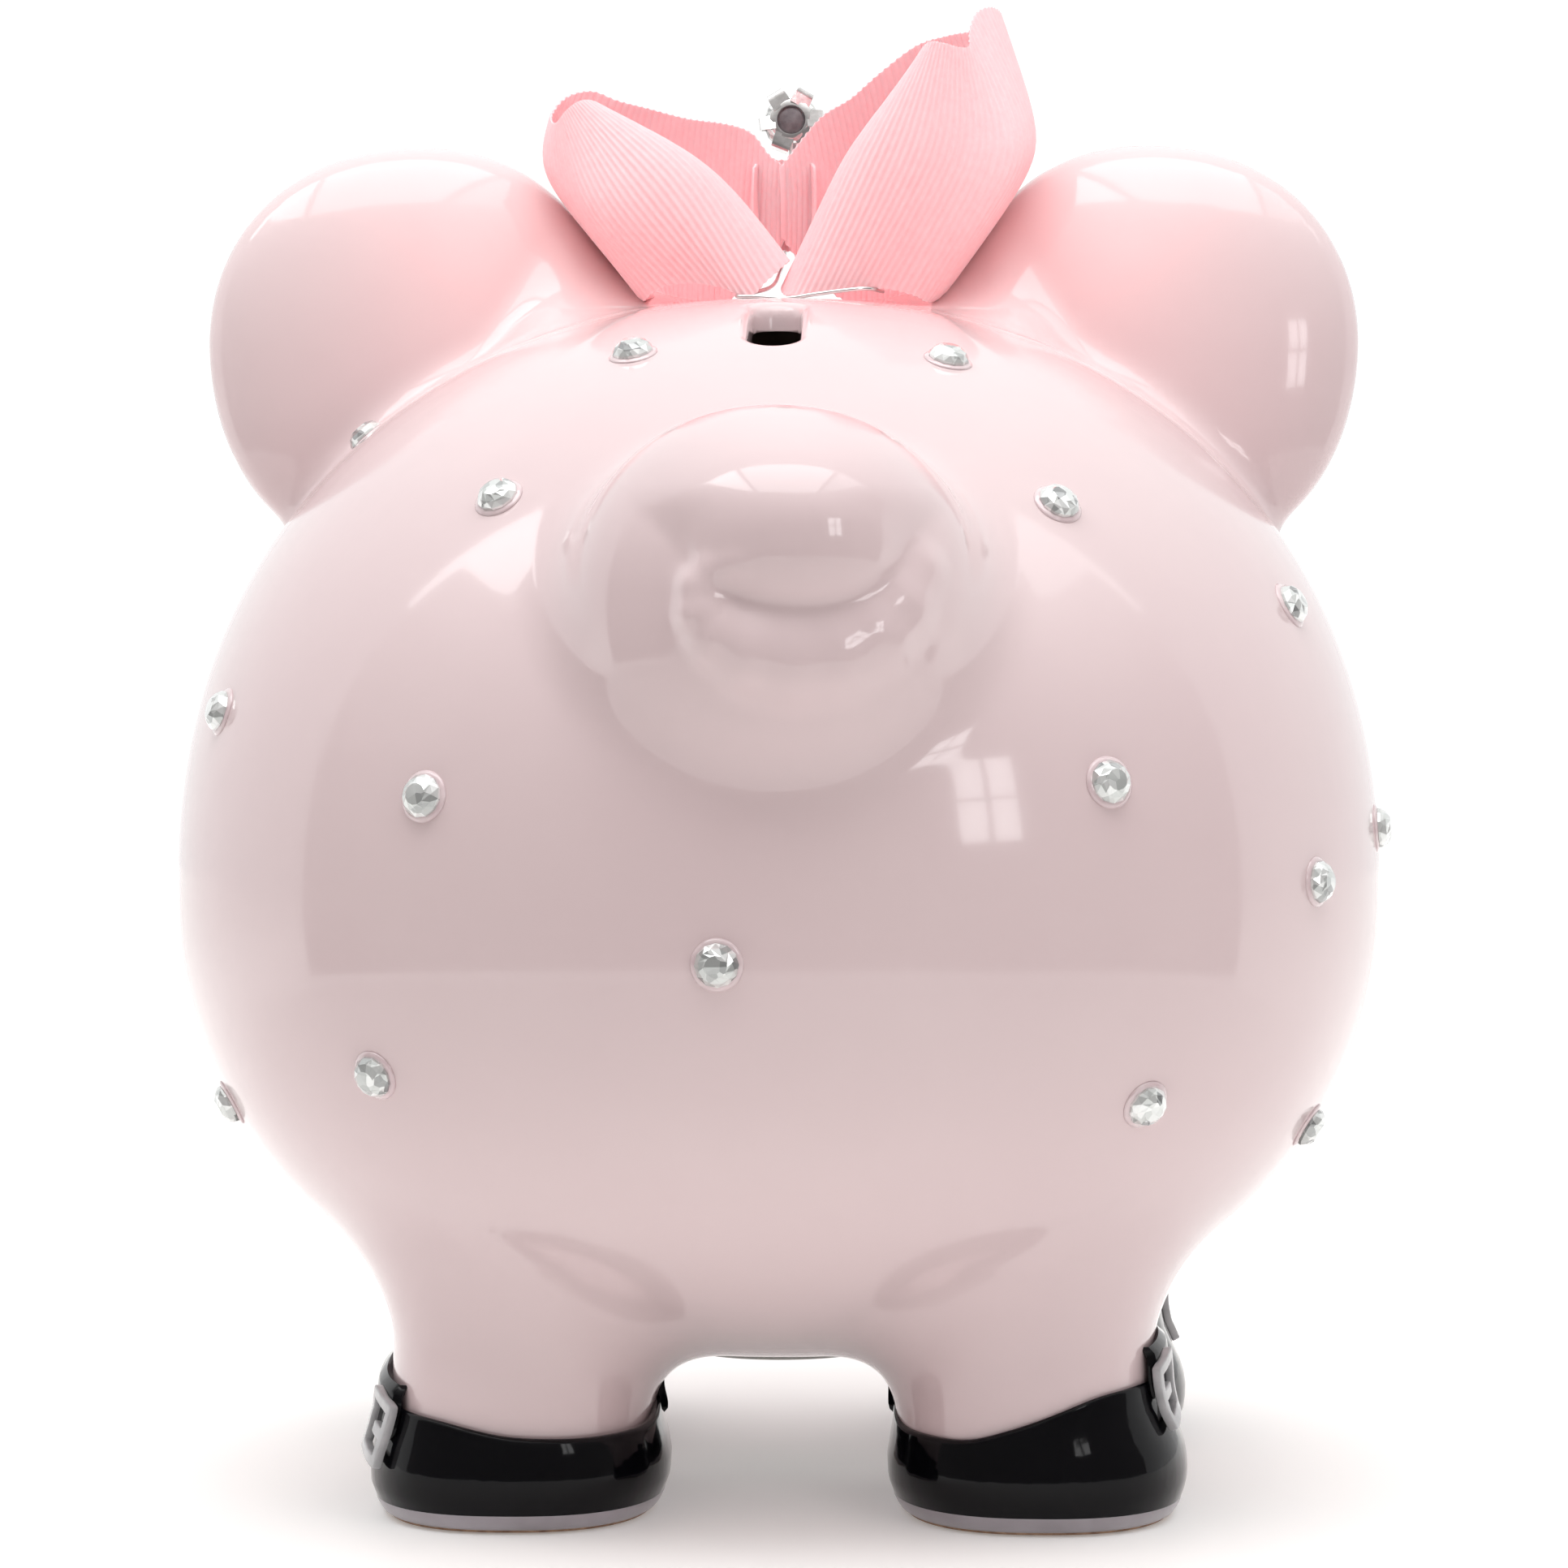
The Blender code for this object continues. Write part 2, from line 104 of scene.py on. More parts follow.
def edit_all(obj, step, **settings):
    """Runs one edit-mode step on the whole of a piece."""
    only(obj)
    bpy.ops.object.mode_set(mode='EDIT')
    bpy.ops.mesh.select_all(action='SELECT')
    step(**settings)
    bpy.ops.object.mode_set(mode='OBJECT')


def select_faces(obj, mask):
    """Selects only the masked faces of a piece, and leaves it in edit mode."""
    only(obj)
    bpy.ops.object.mode_set(mode='EDIT')
    bpy.ops.mesh.select_mode(type='FACE')
    bpy.ops.mesh.select_all(action='DESELECT')
    bpy.ops.object.mode_set(mode='OBJECT')
    obj.data.polygons.foreach_set("select", mask)
    bpy.ops.object.mode_set(mode='EDIT')


def apply_modifiers(obj):
    only(obj)
    for step in list(obj.modifiers):
        bpy.ops.object.modifier_apply(modifier=step.name)


def smooth(obj, angle=None):
    only(obj)
    if angle is None:
        bpy.ops.object.shade_smooth()
    else:
        bpy.ops.object.shade_smooth_by_angle(angle=math.radians(angle))


def points_of(obj):
    out = np.empty(len(obj.data.vertices) * 3)
    obj.data.vertices.foreach_get("co", out)
    return out.reshape(-1, 3)


def move_points(obj, points):
    obj.data.vertices.foreach_set("co", np.ascontiguousarray(points, float).ravel())
    obj.data.update()


def wear(obj, *materials):
    obj.data.materials.clear()
    for material in materials:
        obj.data.materials.append(material)


# ---------------------------------------------------------------- the casting's shape
def rounded(p, radii, power):
    """Distance, near the surface, to |x/a|^n + |y/b|^n + |z/c|^n = 1."""
    q = np.abs(p) / radii + 1e-9
    g = (q ** power).sum(-1) ** (1 / power)
    slope = (q ** (power - 1)) * g[:, None] ** (1 - power) / radii
    return (g - 1) / np.maximum(np.linalg.norm(slope, axis=1), 1e-6)


def blend(a, b, k):
    """The nearer of two surfaces, with a fillet of about k."""
    h = np.clip(0.5 + 0.5 * (b - a) / k, 0, 1)
    return b + (a - b) * h - k * h * (1 - h)


def carve(a, b, k):
    """Surface a with shape b taken out, its edge rounded by about k."""
    return -blend(-a, b, k)


def ease(x, low, high):
    t = np.clip((x - low) / (high - low), 0, 1)
    return t * t * (3 - 2 * t)


def body_shape(p, inset=0.0):
    up = np.maximum(0, p[:, 2] - MID_Z) / BODY_UP
    q = p - (0, 0, MID_Z)
    q[:, 1] += HEAD_LEAN * up ** 2
    radii = np.empty_like(q)
    radii[:, 0], radii[:, 1] = BODY[0] - inset, BODY[1] - inset
    radii[:, 2] = np.where(q[:, 2] > 0, BODY_UP, BODY_DOWN) - inset
    return rounded(q, radii, BODY_POWER)


def ear_turn(side):
    return np.array(Matrix.Rotation(math.radians(side * 14), 3, 'Z')
                    @ Matrix.Rotation(math.radians(side * 9), 3, 'Y'))


def ear_shape(p, side):
    q = (p - (side * EAR_AT[0], EAR_AT[1], EAR_AT[2])) @ ear_turn(side)
    out = np.clip(np.hypot(q[:, 0], q[:, 2]) / (EAR_R * 0.80), 0, 1)
    q[:, 1] -= EAR_DISH * (1 - out ** 2) ** 1.3 * ease(-q[:, 1], 0.0, 0.004)
    return rounded(q, (EAR_R, EAR_HALF, EAR_R), 2.15)


def leg_size(z):
    return np.interp(z, LEG[0], LEG[1]), np.interp(z, LEG[0], LEG[2])


def leg_shape(p, foot):
    z = p[:, 2]
    wide, deep = leg_size(z)
    q = np.stack([np.abs(p[:, 0] - foot.x) / wide, np.abs(p[:, 1] - foot.y) / deep], 1) + 1e-9
    g = (q ** LEG_POWER).sum(1) ** (1 / LEG_POWER)
    steep = LEG_POWER - 1
    slope = np.hypot(q[:, 0] ** steep / wide, q[:, 1] ** steep / deep) * g ** -steep
    side = (g - 1) / np.maximum(slope, 1e-6)
    return np.maximum(side, np.maximum(0.0015 - z, z - LEG[0][-1]))


def path_shape(p, stations):
    """Distance to a bent rod through (place, radius) stations."""
    best = np.full(len(p), 1.0)
    for (a, ra), (b, rb) in zip(stations, stations[1:]):
        a, b = np.array(a), np.array(b)
        t = np.clip((p - a) @ (b - a) / ((b - a) @ (b - a)), 0, 1)
        away = np.linalg.norm(p - a - t[:, None] * (b - a), axis=1)
        best = blend(best, away - (ra + (rb - ra) * t), 0.0006)
    return best


def smile(a):
    return (SMILE_W * math.sin(a), SMILE_AT[0], SMILE_AT[1] - SMILE_H * math.cos(a))


def slot_shape(p):
    middle, half = sum(SLOT_ENDS) / 2, (SLOT_ENDS[1] - SLOT_ENDS[0] - SLOT_W) / 2
    along = np.maximum(np.abs(p[:, 1] - middle) - half, 0)
    return np.maximum(np.hypot(p[:, 0], along) - SLOT_W / 2, 0.150 - p[:, 2])


def add_near(f, p, low, high, shape, join, k):
    """Joins a small feature to f, worked out only for the points inside its box."""
    inside = np.all((p > low) & (p < high), axis=1)
    if inside.any():
        k = k[inside] if isinstance(k, np.ndarray) else k
        f[inside] = join(f[inside], shape(p[inside]), k)


def snout_shape(p):
    side = rounded(np.stack([p[:, 0], p[:, 2] - SNOUT_Z], 1), np.array((SNOUT_W, SNOUT_H)), 2.15)
    return np.maximum(-blend(-side, p[:, 1] + END_Y, 0.0040), p[:, 1] + 0.06)


def casting_shape(p, hollow=True):
    """The whole casting: below zero is clay, above zero is air."""
    f = body_shape(p)
    for side in (1, -1):
        low = (0.010 if side > 0 else -0.12, -0.06, 0.12)
        high = (0.12 if side > 0 else -0.010, 0.02, 0.23)
        add_near(f, p, low, high, lambda q: ear_shape(q, side), blend,
                 0.0060 + 0.0150 * ease(-np.abs(p[:, 0]), -0.052, -0.034) * ease(p[:, 2], 0.172, 0.184))
    for foot in FEET:
        add_near(f, p, (foot.x - 0.05, foot.y - 0.05, -0.01), (foot.x + 0.05, foot.y + 0.05, 0.09),
                 lambda q: leg_shape(q, foot), blend, LEG_FILLET)
    add_near(f, p, (-0.05, -0.13, 0.07), (0.05, -0.05, 0.14), snout_shape, blend, SNOUT_FILLET)
    for side in (1, -1):
        add_near(f, p, (-0.03, -0.13, 0.09), (0.03, -0.09, 0.12), lambda q: rounded(
            q - (side * NOSTRIL_X, -END_Y, SNOUT_Z + 0.001), NOSTRIL_R, 2.0), carve, 0.0016)
    add_near(f, p, (-0.03, -0.12, 0.06), (0.03, -0.08, 0.09), lambda q: path_shape(
        q, [(smile(a / 10), SMILE_R) for a in range(-9, 10, 2)]), carve, 0.0022)
    tail_box = ((-0.055, 0.045, 0.085), (0.055, 0.13, 0.185))
    add_near(f, p, *tail_box, lambda q: rounded(q - TAIL_AT, TAIL_R, 2.1), blend,
             0.0080 - 0.0025 * ease(-p[:, 2], -0.140, -0.115))
    add_near(f, p, *tail_box, lambda q: path_shape(q, CURL), blend, CURL_FILLET)
    add_near(f, p, *tail_box, lambda q: rounded(q - TIP_AT, TIP_R, 2.2), blend,
             0.0012 + 0.0060 * ease(p[:, 2], 0.143, 0.152))
    add_near(f, p, (-0.03, -0.03, -0.01), (0.03, 0.03, 0.04), lambda q: np.maximum(
        np.hypot(q[:, 0], q[:, 1]) - SEAT_R, q[:, 2] - SEAT_Z), carve, SEAT_LIP)
    add_near(f, p, (-0.015, 0.0, 0.14), (0.015, 0.06, 0.21), slot_shape, carve, SLOT_LIP)
    if hollow:
        f = carve(f, body_shape(p, WALL), 0.0012)
    return f


def slopes(shape, p, step=0.00012):
    out = np.empty_like(p)
    for axis in range(3):
        push = np.zeros(3)
        push[axis] = step
        out[:, axis] = (shape(p + push) - shape(p - push)) / (2 * step)
    return out


def settle(shape, p, rounds=4):
    """Moves each point onto the shape's surface."""
    p = p.copy()
    for _ in range(rounds):
        g = slopes(shape, p)
        size = np.maximum((g * g).sum(1), 0.2)
        move = np.clip(shape(p) / size, -0.003, 0.003)
        p -= move[:, None] * g
    return p


def even_out(obj, shape, rounds):
    """Slides the points along the surface until they are evenly spread, and keeps them on it."""
    p = points_of(obj)
    edges = np.empty(len(obj.data.edges) * 2, np.int64)
    obj.data.edges.foreach_get("vertices", edges)
    edges = edges.reshape(-1, 2)
    ends, others = np.concatenate([edges[:, 0], edges[:, 1]]), np.concatenate([edges[:, 1], edges[:, 0]])
    count = np.maximum(np.bincount(ends, minlength=len(p)), 1)
    for _ in range(rounds):
        mean = np.stack([np.bincount(ends, p[others, k], len(p)) for k in range(3)], 1) / count[:, None]
        g = slopes(shape, p)
        g /= np.maximum(np.linalg.norm(g, axis=1), 1e-6)[:, None]
        move = 0.6 * (mean - p)
        p += move - (move * g).sum(1)[:, None] * g
        p = settle(shape, p, 1)
    move_points(obj, settle(shape, p, 3))


def lump(kind, at, radii, turn=None):
    """One rough lump of clay, pressed to its size."""
    deselect()
    if kind == "ball":
        bpy.ops.mesh.primitive_uv_sphere_add(segments=64, ring_count=40, radius=1.0, location=(0, 0, 0))
    else:
        bpy.ops.mesh.primitive_cylinder_add(vertices=48, radius=1.0, depth=2.0, location=(0, 0, 0))
    obj = bpy.context.object
    edit_all(obj, bpy.ops.transform.resize, value=radii)
    if turn is not None:
        obj.rotation_euler = Matrix(turn.tolist()).to_euler()
    obj.location = at
    apply_all(obj)
    return obj


def refine(obj, chosen, cuts):
    """Cuts the chosen faces finer. chosen takes the faces' middles and returns a mask."""
    middles = np.empty(len(obj.data.polygons) * 3)
    obj.data.polygons.foreach_get("center", middles)
    select_faces(obj, chosen(middles.reshape(-1, 3)))
    bpy.ops.mesh.subdivide(number_cuts=cuts)
    bpy.ops.object.mode_set(mode='OBJECT')


def cut_out(obj, tool):
    step = obj.modifiers.new("cut", 'BOOLEAN')
    step.operation, step.solver, step.object = 'DIFFERENCE', 'EXACT', tool
    apply_modifiers(obj)
    bpy.data.objects.remove(tool, do_unlink=True)


def make_casting():
    lumps = [lump("ball", (0, -0.004, MID_Z + 0.010), (BODY[0], BODY[1], 0.0840))]
    for side in (1, -1):
        lumps.append(lump("ball", (side * EAR_AT[0], EAR_AT[1], EAR_AT[2]), (EAR_R, EAR_HALF, EAR_R),
                          ear_turn(side)))
    for foot in FEET:
        lumps.append(lump("post", (foot.x, foot.y, 0.0310), (0.0196, 0.0250, 0.0290)))
    lumps.append(lump("ball", TAIL_AT, TAIL_R))
    lumps.append(lump("ball", (0, -0.086, SNOUT_Z), (SNOUT_W, 0.027, SNOUT_H)))
    deselect()
    for obj in lumps:
        obj.select_set(True)
    bpy.context.view_layer.objects.active = lumps[0]
    bpy.ops.object.join()
    clay = bpy.context.object
    clay.name = "glazed_casting"
    step = clay.modifiers.new("one skin", 'REMESH')
    step.mode, step.voxel_size = 'VOXEL', 0.0031
    apply_modifiers(clay)

    def outside(p):
        return casting_shape(p, hollow=False)

    def plain(p):
        """The outside before the slot is cut."""
        return np.where(slot_shape(p) < 0.004, body_shape(p), outside(p))

    move_points(clay, settle(plain, points_of(clay), 6))
    even_out(clay, plain, 12)
    step = clay.modifiers.new("finer", 'SUBSURF')
    step.levels = step.render_levels = 1
    apply_modifiers(clay)
    even_out(clay, plain, 3)
    refine(clay, lambda m: (np.abs(m[:, 0]) < 0.034) & (m[:, 1] > 0.062)
           & (m[:, 2] > 0.118) & (m[:, 2] < 0.172), 1)
    refine(clay, lambda m: (np.abs(m[:, 0]) < 0.034) & (m[:, 1] < -0.090)
           & (m[:, 2] > 0.064) & (m[:, 2] < 0.128), 1)
    even_out(clay, plain, 3)
    refine(clay, lambda m: (slot_shape(m) < 0.0045) & (m[:, 2] > 0.150), 3)
    even_out(clay, plain, 2)

    hollow = lump("ball", (0, 0, 0), (1, 1, 1))
    p = points_of(hollow)
    p /= np.linalg.norm(p, axis=1)[:, None]
    p /= ((np.abs(p) ** BODY_POWER).sum(1) ** (1 / BODY_POWER))[:, None]
    p *= (BODY[0] - WALL, BODY[1] - WALL, 1)
    p[:, 2] *= np.where(p[:, 2] > 0, BODY_UP, BODY_DOWN) - WALL
    p[:, 1] -= HEAD_LEAN * (np.maximum(0, p[:, 2]) / BODY_UP) ** 2
    move_points(hollow, p + (0, 0, MID_Z))
    cut_out(clay, hollow)
    cut_out(clay, slot_tool())
    cut_out(clay, lump("post", (0, 0, 0.020), (HOLE_R, HOLE_R, 0.012)))

    p = points_of(clay)
    near = (slot_shape(p) < 0.0040) & (p[:, 2] > 0.160) & (body_shape(p) > -0.0035)
    p[near] = settle(casting_shape, p[near], 6)
    move_points(clay, p)
    smooth(clay)
    return clay


def slot_tool():
    """The blade for the coin slot: a bar with round ends, ringed every 0.6 mm so its lip can be round."""
    deselect()
    bpy.ops.mesh.primitive_circle_add(vertices=48, radius=SLOT_W / 2, fill_type='NGON',
                                      location=(0, 0, 0.158))
    blade = bpy.context.object
    apply_all(blade)
    bpy.ops.object.mode_set(mode='EDIT')
    for _ in range(60):
        bpy.ops.mesh.extrude_region_move(TRANSFORM_OT_translate={"value": (0, 0, 0.0006)})
    bpy.ops.object.mode_set(mode='OBJECT')
    edit_all(blade, bpy.ops.mesh.normals_make_consistent, inside=False)
    p = points_of(blade)
    half = (SLOT_ENDS[1] - SLOT_ENDS[0] - SLOT_W) / 2
    p[:, 1] += np.where(p[:, 1] > 0, half, -half) + sum(SLOT_ENDS) / 2
    move_points(blade, p)
    return blade


# ---------------------------------------------------------------- materials
def new_material(name):
    material = bpy.data.materials.new(name)
    material.use_nodes = True
    return material, material.node_tree, material.node_tree.nodes["Principled BSDF"]


def node(tree, kind, **inputs):
    made = tree.nodes.new(kind)
    for key, value in inputs.items():
        made.inputs[key.replace("_", " ")].default_value = value
    return made


def clouded(tree, shader, scale, detail, dark, light, span=(0.0, 1.0)):
    """Clouds two close shades together as a material's colour, and returns the clouds."""
    where = tree.nodes.new("ShaderNodeTexCoord")
    clouds = node(tree, "ShaderNodeTexNoise", Scale=scale, Detail=detail)
    tint = tree.nodes.new("ShaderNodeValToRGB")
    for stop, at, colour in zip(tint.color_ramp.elements, span, (dark, light)):
        stop.position, stop.color = at, (*colour, 1)
    tree.links.new(where.outputs["Object"], clouds.inputs["Vector"])
    tree.links.new(clouds.outputs["Fac"], tint.inputs["Fac"])
    tree.links.new(tint.outputs["Color"], shader.inputs["Base Color"])
    return clouds


def bumped(tree, shader, noise, strength, distance):
    bump = node(tree, "ShaderNodeBump", Strength=strength, Distance=distance)
    tree.links.new(noise.outputs["Fac"], bump.inputs["Height"])
    tree.links.new(bump.outputs["Normal"], shader.inputs["Normal"])


def fine_noise(tree, scale, detail):
    where = tree.nodes.new("ShaderNodeTexCoord")
    noise = node(tree, "ShaderNodeTexNoise", Scale=scale, Detail=detail)
    tree.links.new(where.outputs["Object"], noise.inputs["Vector"])
    return noise


def pink_glaze():
    material, tree, shader = new_material("pink glaze")
    clouds = clouded(tree, shader, 14.0, 3.0, (0.735, 0.580, 0.590), (0.775, 0.625, 0.630), (0.30, 0.72))
    clouds.inputs["Roughness"].default_value = 0.55
    bumped(tree, shader, fine_noise(tree, 160.0, 2.0), 0.05, 0.0006)
    shader.inputs["Roughness"].default_value = 0.12
    shader.inputs["IOR"].default_value = 1.5
    shader.inputs["Coat Weight"].default_value = 0.35
    shader.inputs["Coat Roughness"].default_value = 0.04
    return material


# ---------------------------------------------------------------- room, lights and camera
SKY, SEEN_SKY = 1.03, 1.1  # the sky's radiance as light, and as the camera sees it
CEILING, WINDOW, GLOW = 3.0, 0.020, 0.0009  # each lamp's watts
# painted room shade: the grey sheet's colour low down, and its paler colour higher up as painted light
ROOM_SHADE_GREY, ROOM_LIT_PALE = (0.25, 0.24, 0.24), (0.95, 0.94, 0.94)


def plain_surface(name, colour, roughness):
    material, _, shader = new_material(name)
    shader.inputs["Base Color"].default_value = (*colour, 1)
    shader.inputs["Roughness"].default_value = roughness
    shader.inputs["Specular IOR Level"].default_value = 0.2
    return material


def lamp(name, at, aim, size, power, colour=(1, 1, 1)):
    data = bpy.data.lights.new(name, 'AREA')
    data.shape = 'RECTANGLE'
    data.size, data.size_y = size
    data.energy, data.color = power, colour
    obj = bpy.data.objects.new(name, data)
    bpy.context.collection.objects.link(obj)
    obj.location = at
    obj.rotation_mode = 'QUATERNION'
    obj.rotation_quaternion = (Vector(aim) - Vector(at)).to_track_quat('-Z', 'Y')
    obj.visible_camera = False
    return obj


def make_room():
    """A white table under a ceiling light. On the tail's side a grey sheet stands in for the room's shade:
    painted shade, paler upwards as painted light.
    """
    deselect()
    bpy.ops.mesh.primitive_plane_add(size=6.0, location=(0, 0, 0))
    floor = bpy.context.object
    floor.name = "floor"
    paper = plain_surface("pale floor", (0.90, 0.89, 0.875), 0.6)
    glow = paper.node_tree.nodes["Principled BSDF"].inputs
    glow["Emission Color"].default_value, glow["Emission Strength"].default_value = (1.0, 1.0, 0.99, 1), 0.21
    wear(floor, paper)
    bpy.ops.mesh.primitive_cylinder_add(vertices=96, radius=0.40, depth=0.58, location=(0, 0, 0.300),
                                        end_fill_type='NOTHING')
    dark_side = bpy.context.object
    dark_side.name = "dark_side_of_the_room"
    edit_all(dark_side, bpy.ops.mesh.bisect, plane_co=(0, 0.045, 0), plane_no=(0, 1, 0), clear_inner=True)
    apply_all(dark_side)
    dark_side.visible_camera = False
    # painted shade: the sheet's grey, darker low down and paler upwards, stands in for the dark room and the
    # light higher up
    cloth = plain_surface("painted room shade", ROOM_SHADE_GREY, 0.9)
    tree = cloth.node_tree
    where, parts = tree.nodes.new("ShaderNodeTexCoord"), tree.nodes.new("ShaderNodeSeparateXYZ")
    tint = tree.nodes.new("ShaderNodeValToRGB")
    for stop, at, colour in zip(tint.color_ramp.elements, (0.20, 0.56), (ROOM_SHADE_GREY, ROOM_LIT_PALE)):
        stop.position, stop.color = at, (*colour, 1)
    tree.links.new(where.outputs["Object"], parts.inputs[0])
    tree.links.new(parts.outputs["Z"], tint.inputs["Fac"])
    tree.links.new(tint.outputs["Color"], tree.nodes["Principled BSDF"].inputs["Base Color"])
    wear(dark_side, cloth)
    world = bpy.data.worlds.new("studio")
    world.use_nodes = True
    tree = world.node_tree
    light = tree.nodes["Background"]
    light.inputs["Color"].default_value = (1.0, 1.0, 1.0, 1)
    light.inputs["Strength"].default_value = SKY
    seen = node(tree, "ShaderNodeBackground", Color=(1.0, 1.0, 1.0, 1), Strength=SEEN_SKY)
    path = tree.nodes.new("ShaderNodeLightPath")
    either = tree.nodes.new("ShaderNodeMixShader")
    tree.links.new(path.outputs["Is Camera Ray"], either.inputs[0])
    tree.links.new(light.outputs[0], either.inputs[1])
    tree.links.new(seen.outputs[0], either.inputs[2])
    tree.links.new(either.outputs[0], tree.nodes["World Output"].inputs["Surface"])
    bpy.context.scene.world = world
    for column in (-1, 0, 1):
        lamp("ceiling_light", (0.60 * column, 0.34, 0.88), (0.60 * column, 0.34, 0.0), (0.56, 0.72),
             CEILING * (1 + 0.40 * column))
    for column in (0, 1):
        for row in (0, 1):
            turn = math.radians(31 + 7.5 * column)
            at = (-0.030 - 0.28 * math.sin(turn), 0.090 + 0.28 * math.cos(turn), 0.172 + 0.052 * row)
            lamp("window_pane", at, (-0.03, 0.09, 0.11), (0.030, 0.046), WINDOW)
    # What the ribbon passes on to the glaze and to its own folds
    for at, aim, power in (((0.020, -0.016, 0.203), (0.018, -0.016, 0.19), GLOW),
                           ((-0.021, -0.016, 0.205), (-0.019, -0.016, 0.19), GLOW),
                           ((0.040, 0.016, 0.208), (0.040, -0.006, 0.199), 4.5 * GLOW),
                           ((-0.043, 0.016, 0.208), (-0.042, -0.006, 0.199), 5 * GLOW)):
        glow = lamp("ribbon_glow", at, aim, (0.012, 0.012), power, (1.0, 0.30, 0.30))
        glow.visible_glossy = False
    bpy.context.scene.view_settings.view_transform = 'Standard'


def make_camera():
    data = bpy.data.cameras.new("camera")
    data.lens, data.sensor_width, data.sensor_fit = 100.1, 36.0, 'AUTO'
    obj = bpy.data.objects.new("camera", data)
    bpy.context.collection.objects.link(obj)
    turn, down = math.radians(181.5), math.radians(0.864)
    obj.location = (0.7 * math.sin(turn), -0.7 * math.cos(turn), 0.120)
    heading = turn + math.radians(-0.053)
    look = Vector((-math.sin(heading) * math.cos(down), math.cos(heading) * math.cos(down), -math.sin(down)))
    obj.rotation_mode = 'QUATERNION'
    obj.rotation_quaternion = look.to_track_quat('-Z', 'Y')
    data.clip_start, data.clip_end = 0.01, 20
    bpy.context.scene.camera = obj


# ---------------------------------------------------------------- turned and wrapped pieces
def turned(name, profile, sides=64, twist=None):
    """A closed turned form. profile runs from the bottom pole to the top pole as (radius, height)."""
    deselect()
    rings = len(profile) - 1
    bpy.ops.mesh.primitive_uv_sphere_add(segments=sides, ring_count=rings, radius=1.0, location=(0, 0, 0))
    obj = bpy.context.object
    obj.name = name
    p = points_of(obj)
    step = np.rint(np.arccos(np.clip(-p[:, 2], -1, 1)) / math.pi * rings).astype(int)
    angle = np.arctan2(p[:, 1], p[:, 0])
    if twist:
        angle = angle + np.array(twist)[step] * math.pi / sides
    table = np.array(profile, float)
    r, z = table[step, 0], table[step, 1]
    move_points(obj, np.stack([r * np.cos(angle), r * np.sin(angle), z], 1))
    return obj


def place(obj, at, normal, turn=0.0, tall=1.0):
    """Stands a piece on a point with its +Z along the normal, and bakes the place into its mesh."""
    normal = Vector(normal).normalized()
    side = Vector((0, 0, 1)).cross(normal)
    side = side.normalized() if side.length > 1e-3 else Vector((1, 0, 0))
    up = normal.cross(side)
    basis = Matrix((side, up, normal)).transposed() @ Matrix.Rotation(turn, 3, 'Z')
    p = points_of(obj) * (1.0, tall, 1.0)
    move_points(obj, p @ np.array(basis).T + np.array(at))
    return obj


def on_glaze(guess):
    """The point of the casting's outside nearest to a guess, and its normal."""
    def outside(p):
        return casting_shape(p, hollow=False)
    p = settle(outside, np.array([guess], float), 8)
    g = slopes(outside, p)[0]
    return p[0], g / np.linalg.norm(g)


def at_bearing(bearing, height):
    """A point on the body, by its bearing from the tail towards the pig's left, and its height."""
    a, z = math.radians(bearing), height / 1000
    up = max(0.0, z - MID_Z) / BODY_UP
    tall = BODY_UP if z > MID_Z else BODY_DOWN
    flat = max(0.0, 1 - (abs(z - MID_Z) / tall) ** BODY_POWER)
    dx, dy = math.sin(a), math.cos(a)
    spread = (abs(dx) / BODY[0]) ** BODY_POWER + (abs(dy) / BODY[1]) ** BODY_POWER
    reach = (flat / spread) ** (1 / BODY_POWER)
    return on_glaze((reach * dx, reach * dy - HEAD_LEAN * up * up, z))


SHOE_SWELL = ((0.0, 0.0026, 0.005, 0.008, 0.011, 0.014, 0.017, 0.030),
              (0.0016, 0.0022, 0.0031, 0.0032, 0.0027, 0.0018, 0.0011, 0.0009))


def foot_points(foot, angle, z, lift):
    """Points on a foot's outline: angle is 0 on its outer side and 90 at the heel, in degrees."""
    x, y = foot.x, foot.y
    side = math.copysign(1.0, x)
    x = x + side * foot.lean * (1 - ease(np.asarray(z, float), 0.010, 0.021))
    angle, z, lift = np.radians(angle), np.asarray(z, float), np.asarray(lift, float)
    wide, deep = (half + lift for half in leg_size(z))
    c, s = np.cos(angle), np.sin(angle)
    r = ((np.abs(c) / wide) ** LEG_POWER + (np.abs(s) / deep) ** LEG_POWER) ** (-1 / LEG_POWER)
    return np.stack([x + side * r * c, y + r * s, z + 0 * r], -1)


def shoe_edge(foot, angle):
    """Height of the shoe's top edge round the foot."""
    inside, back, outside = foot.inside, foot.back, foot.outside
    keys = (-180, -135, -90, -45, 0, 45, 68, 90, 113, 150, 180)
    heights = (inside + 0.001, 0.0165, 0.0172, 0.0168, outside - 0.001, outside, outside - 0.0009,
               back + 0.0002, inside - 0.0002, inside, inside + 0.001)
    fine = np.linspace(-180, 180, 361)
    rough = np.interp(fine, keys, heights)
    kernel = np.hanning(27)
    closed = np.concatenate([rough[-31:-1], rough, rough[1:31]])
    soft = np.convolve(closed, kernel / kernel.sum(), 'same')[30:-30]
    return np.interp((angle + 180) % 360 - 180, fine, soft)


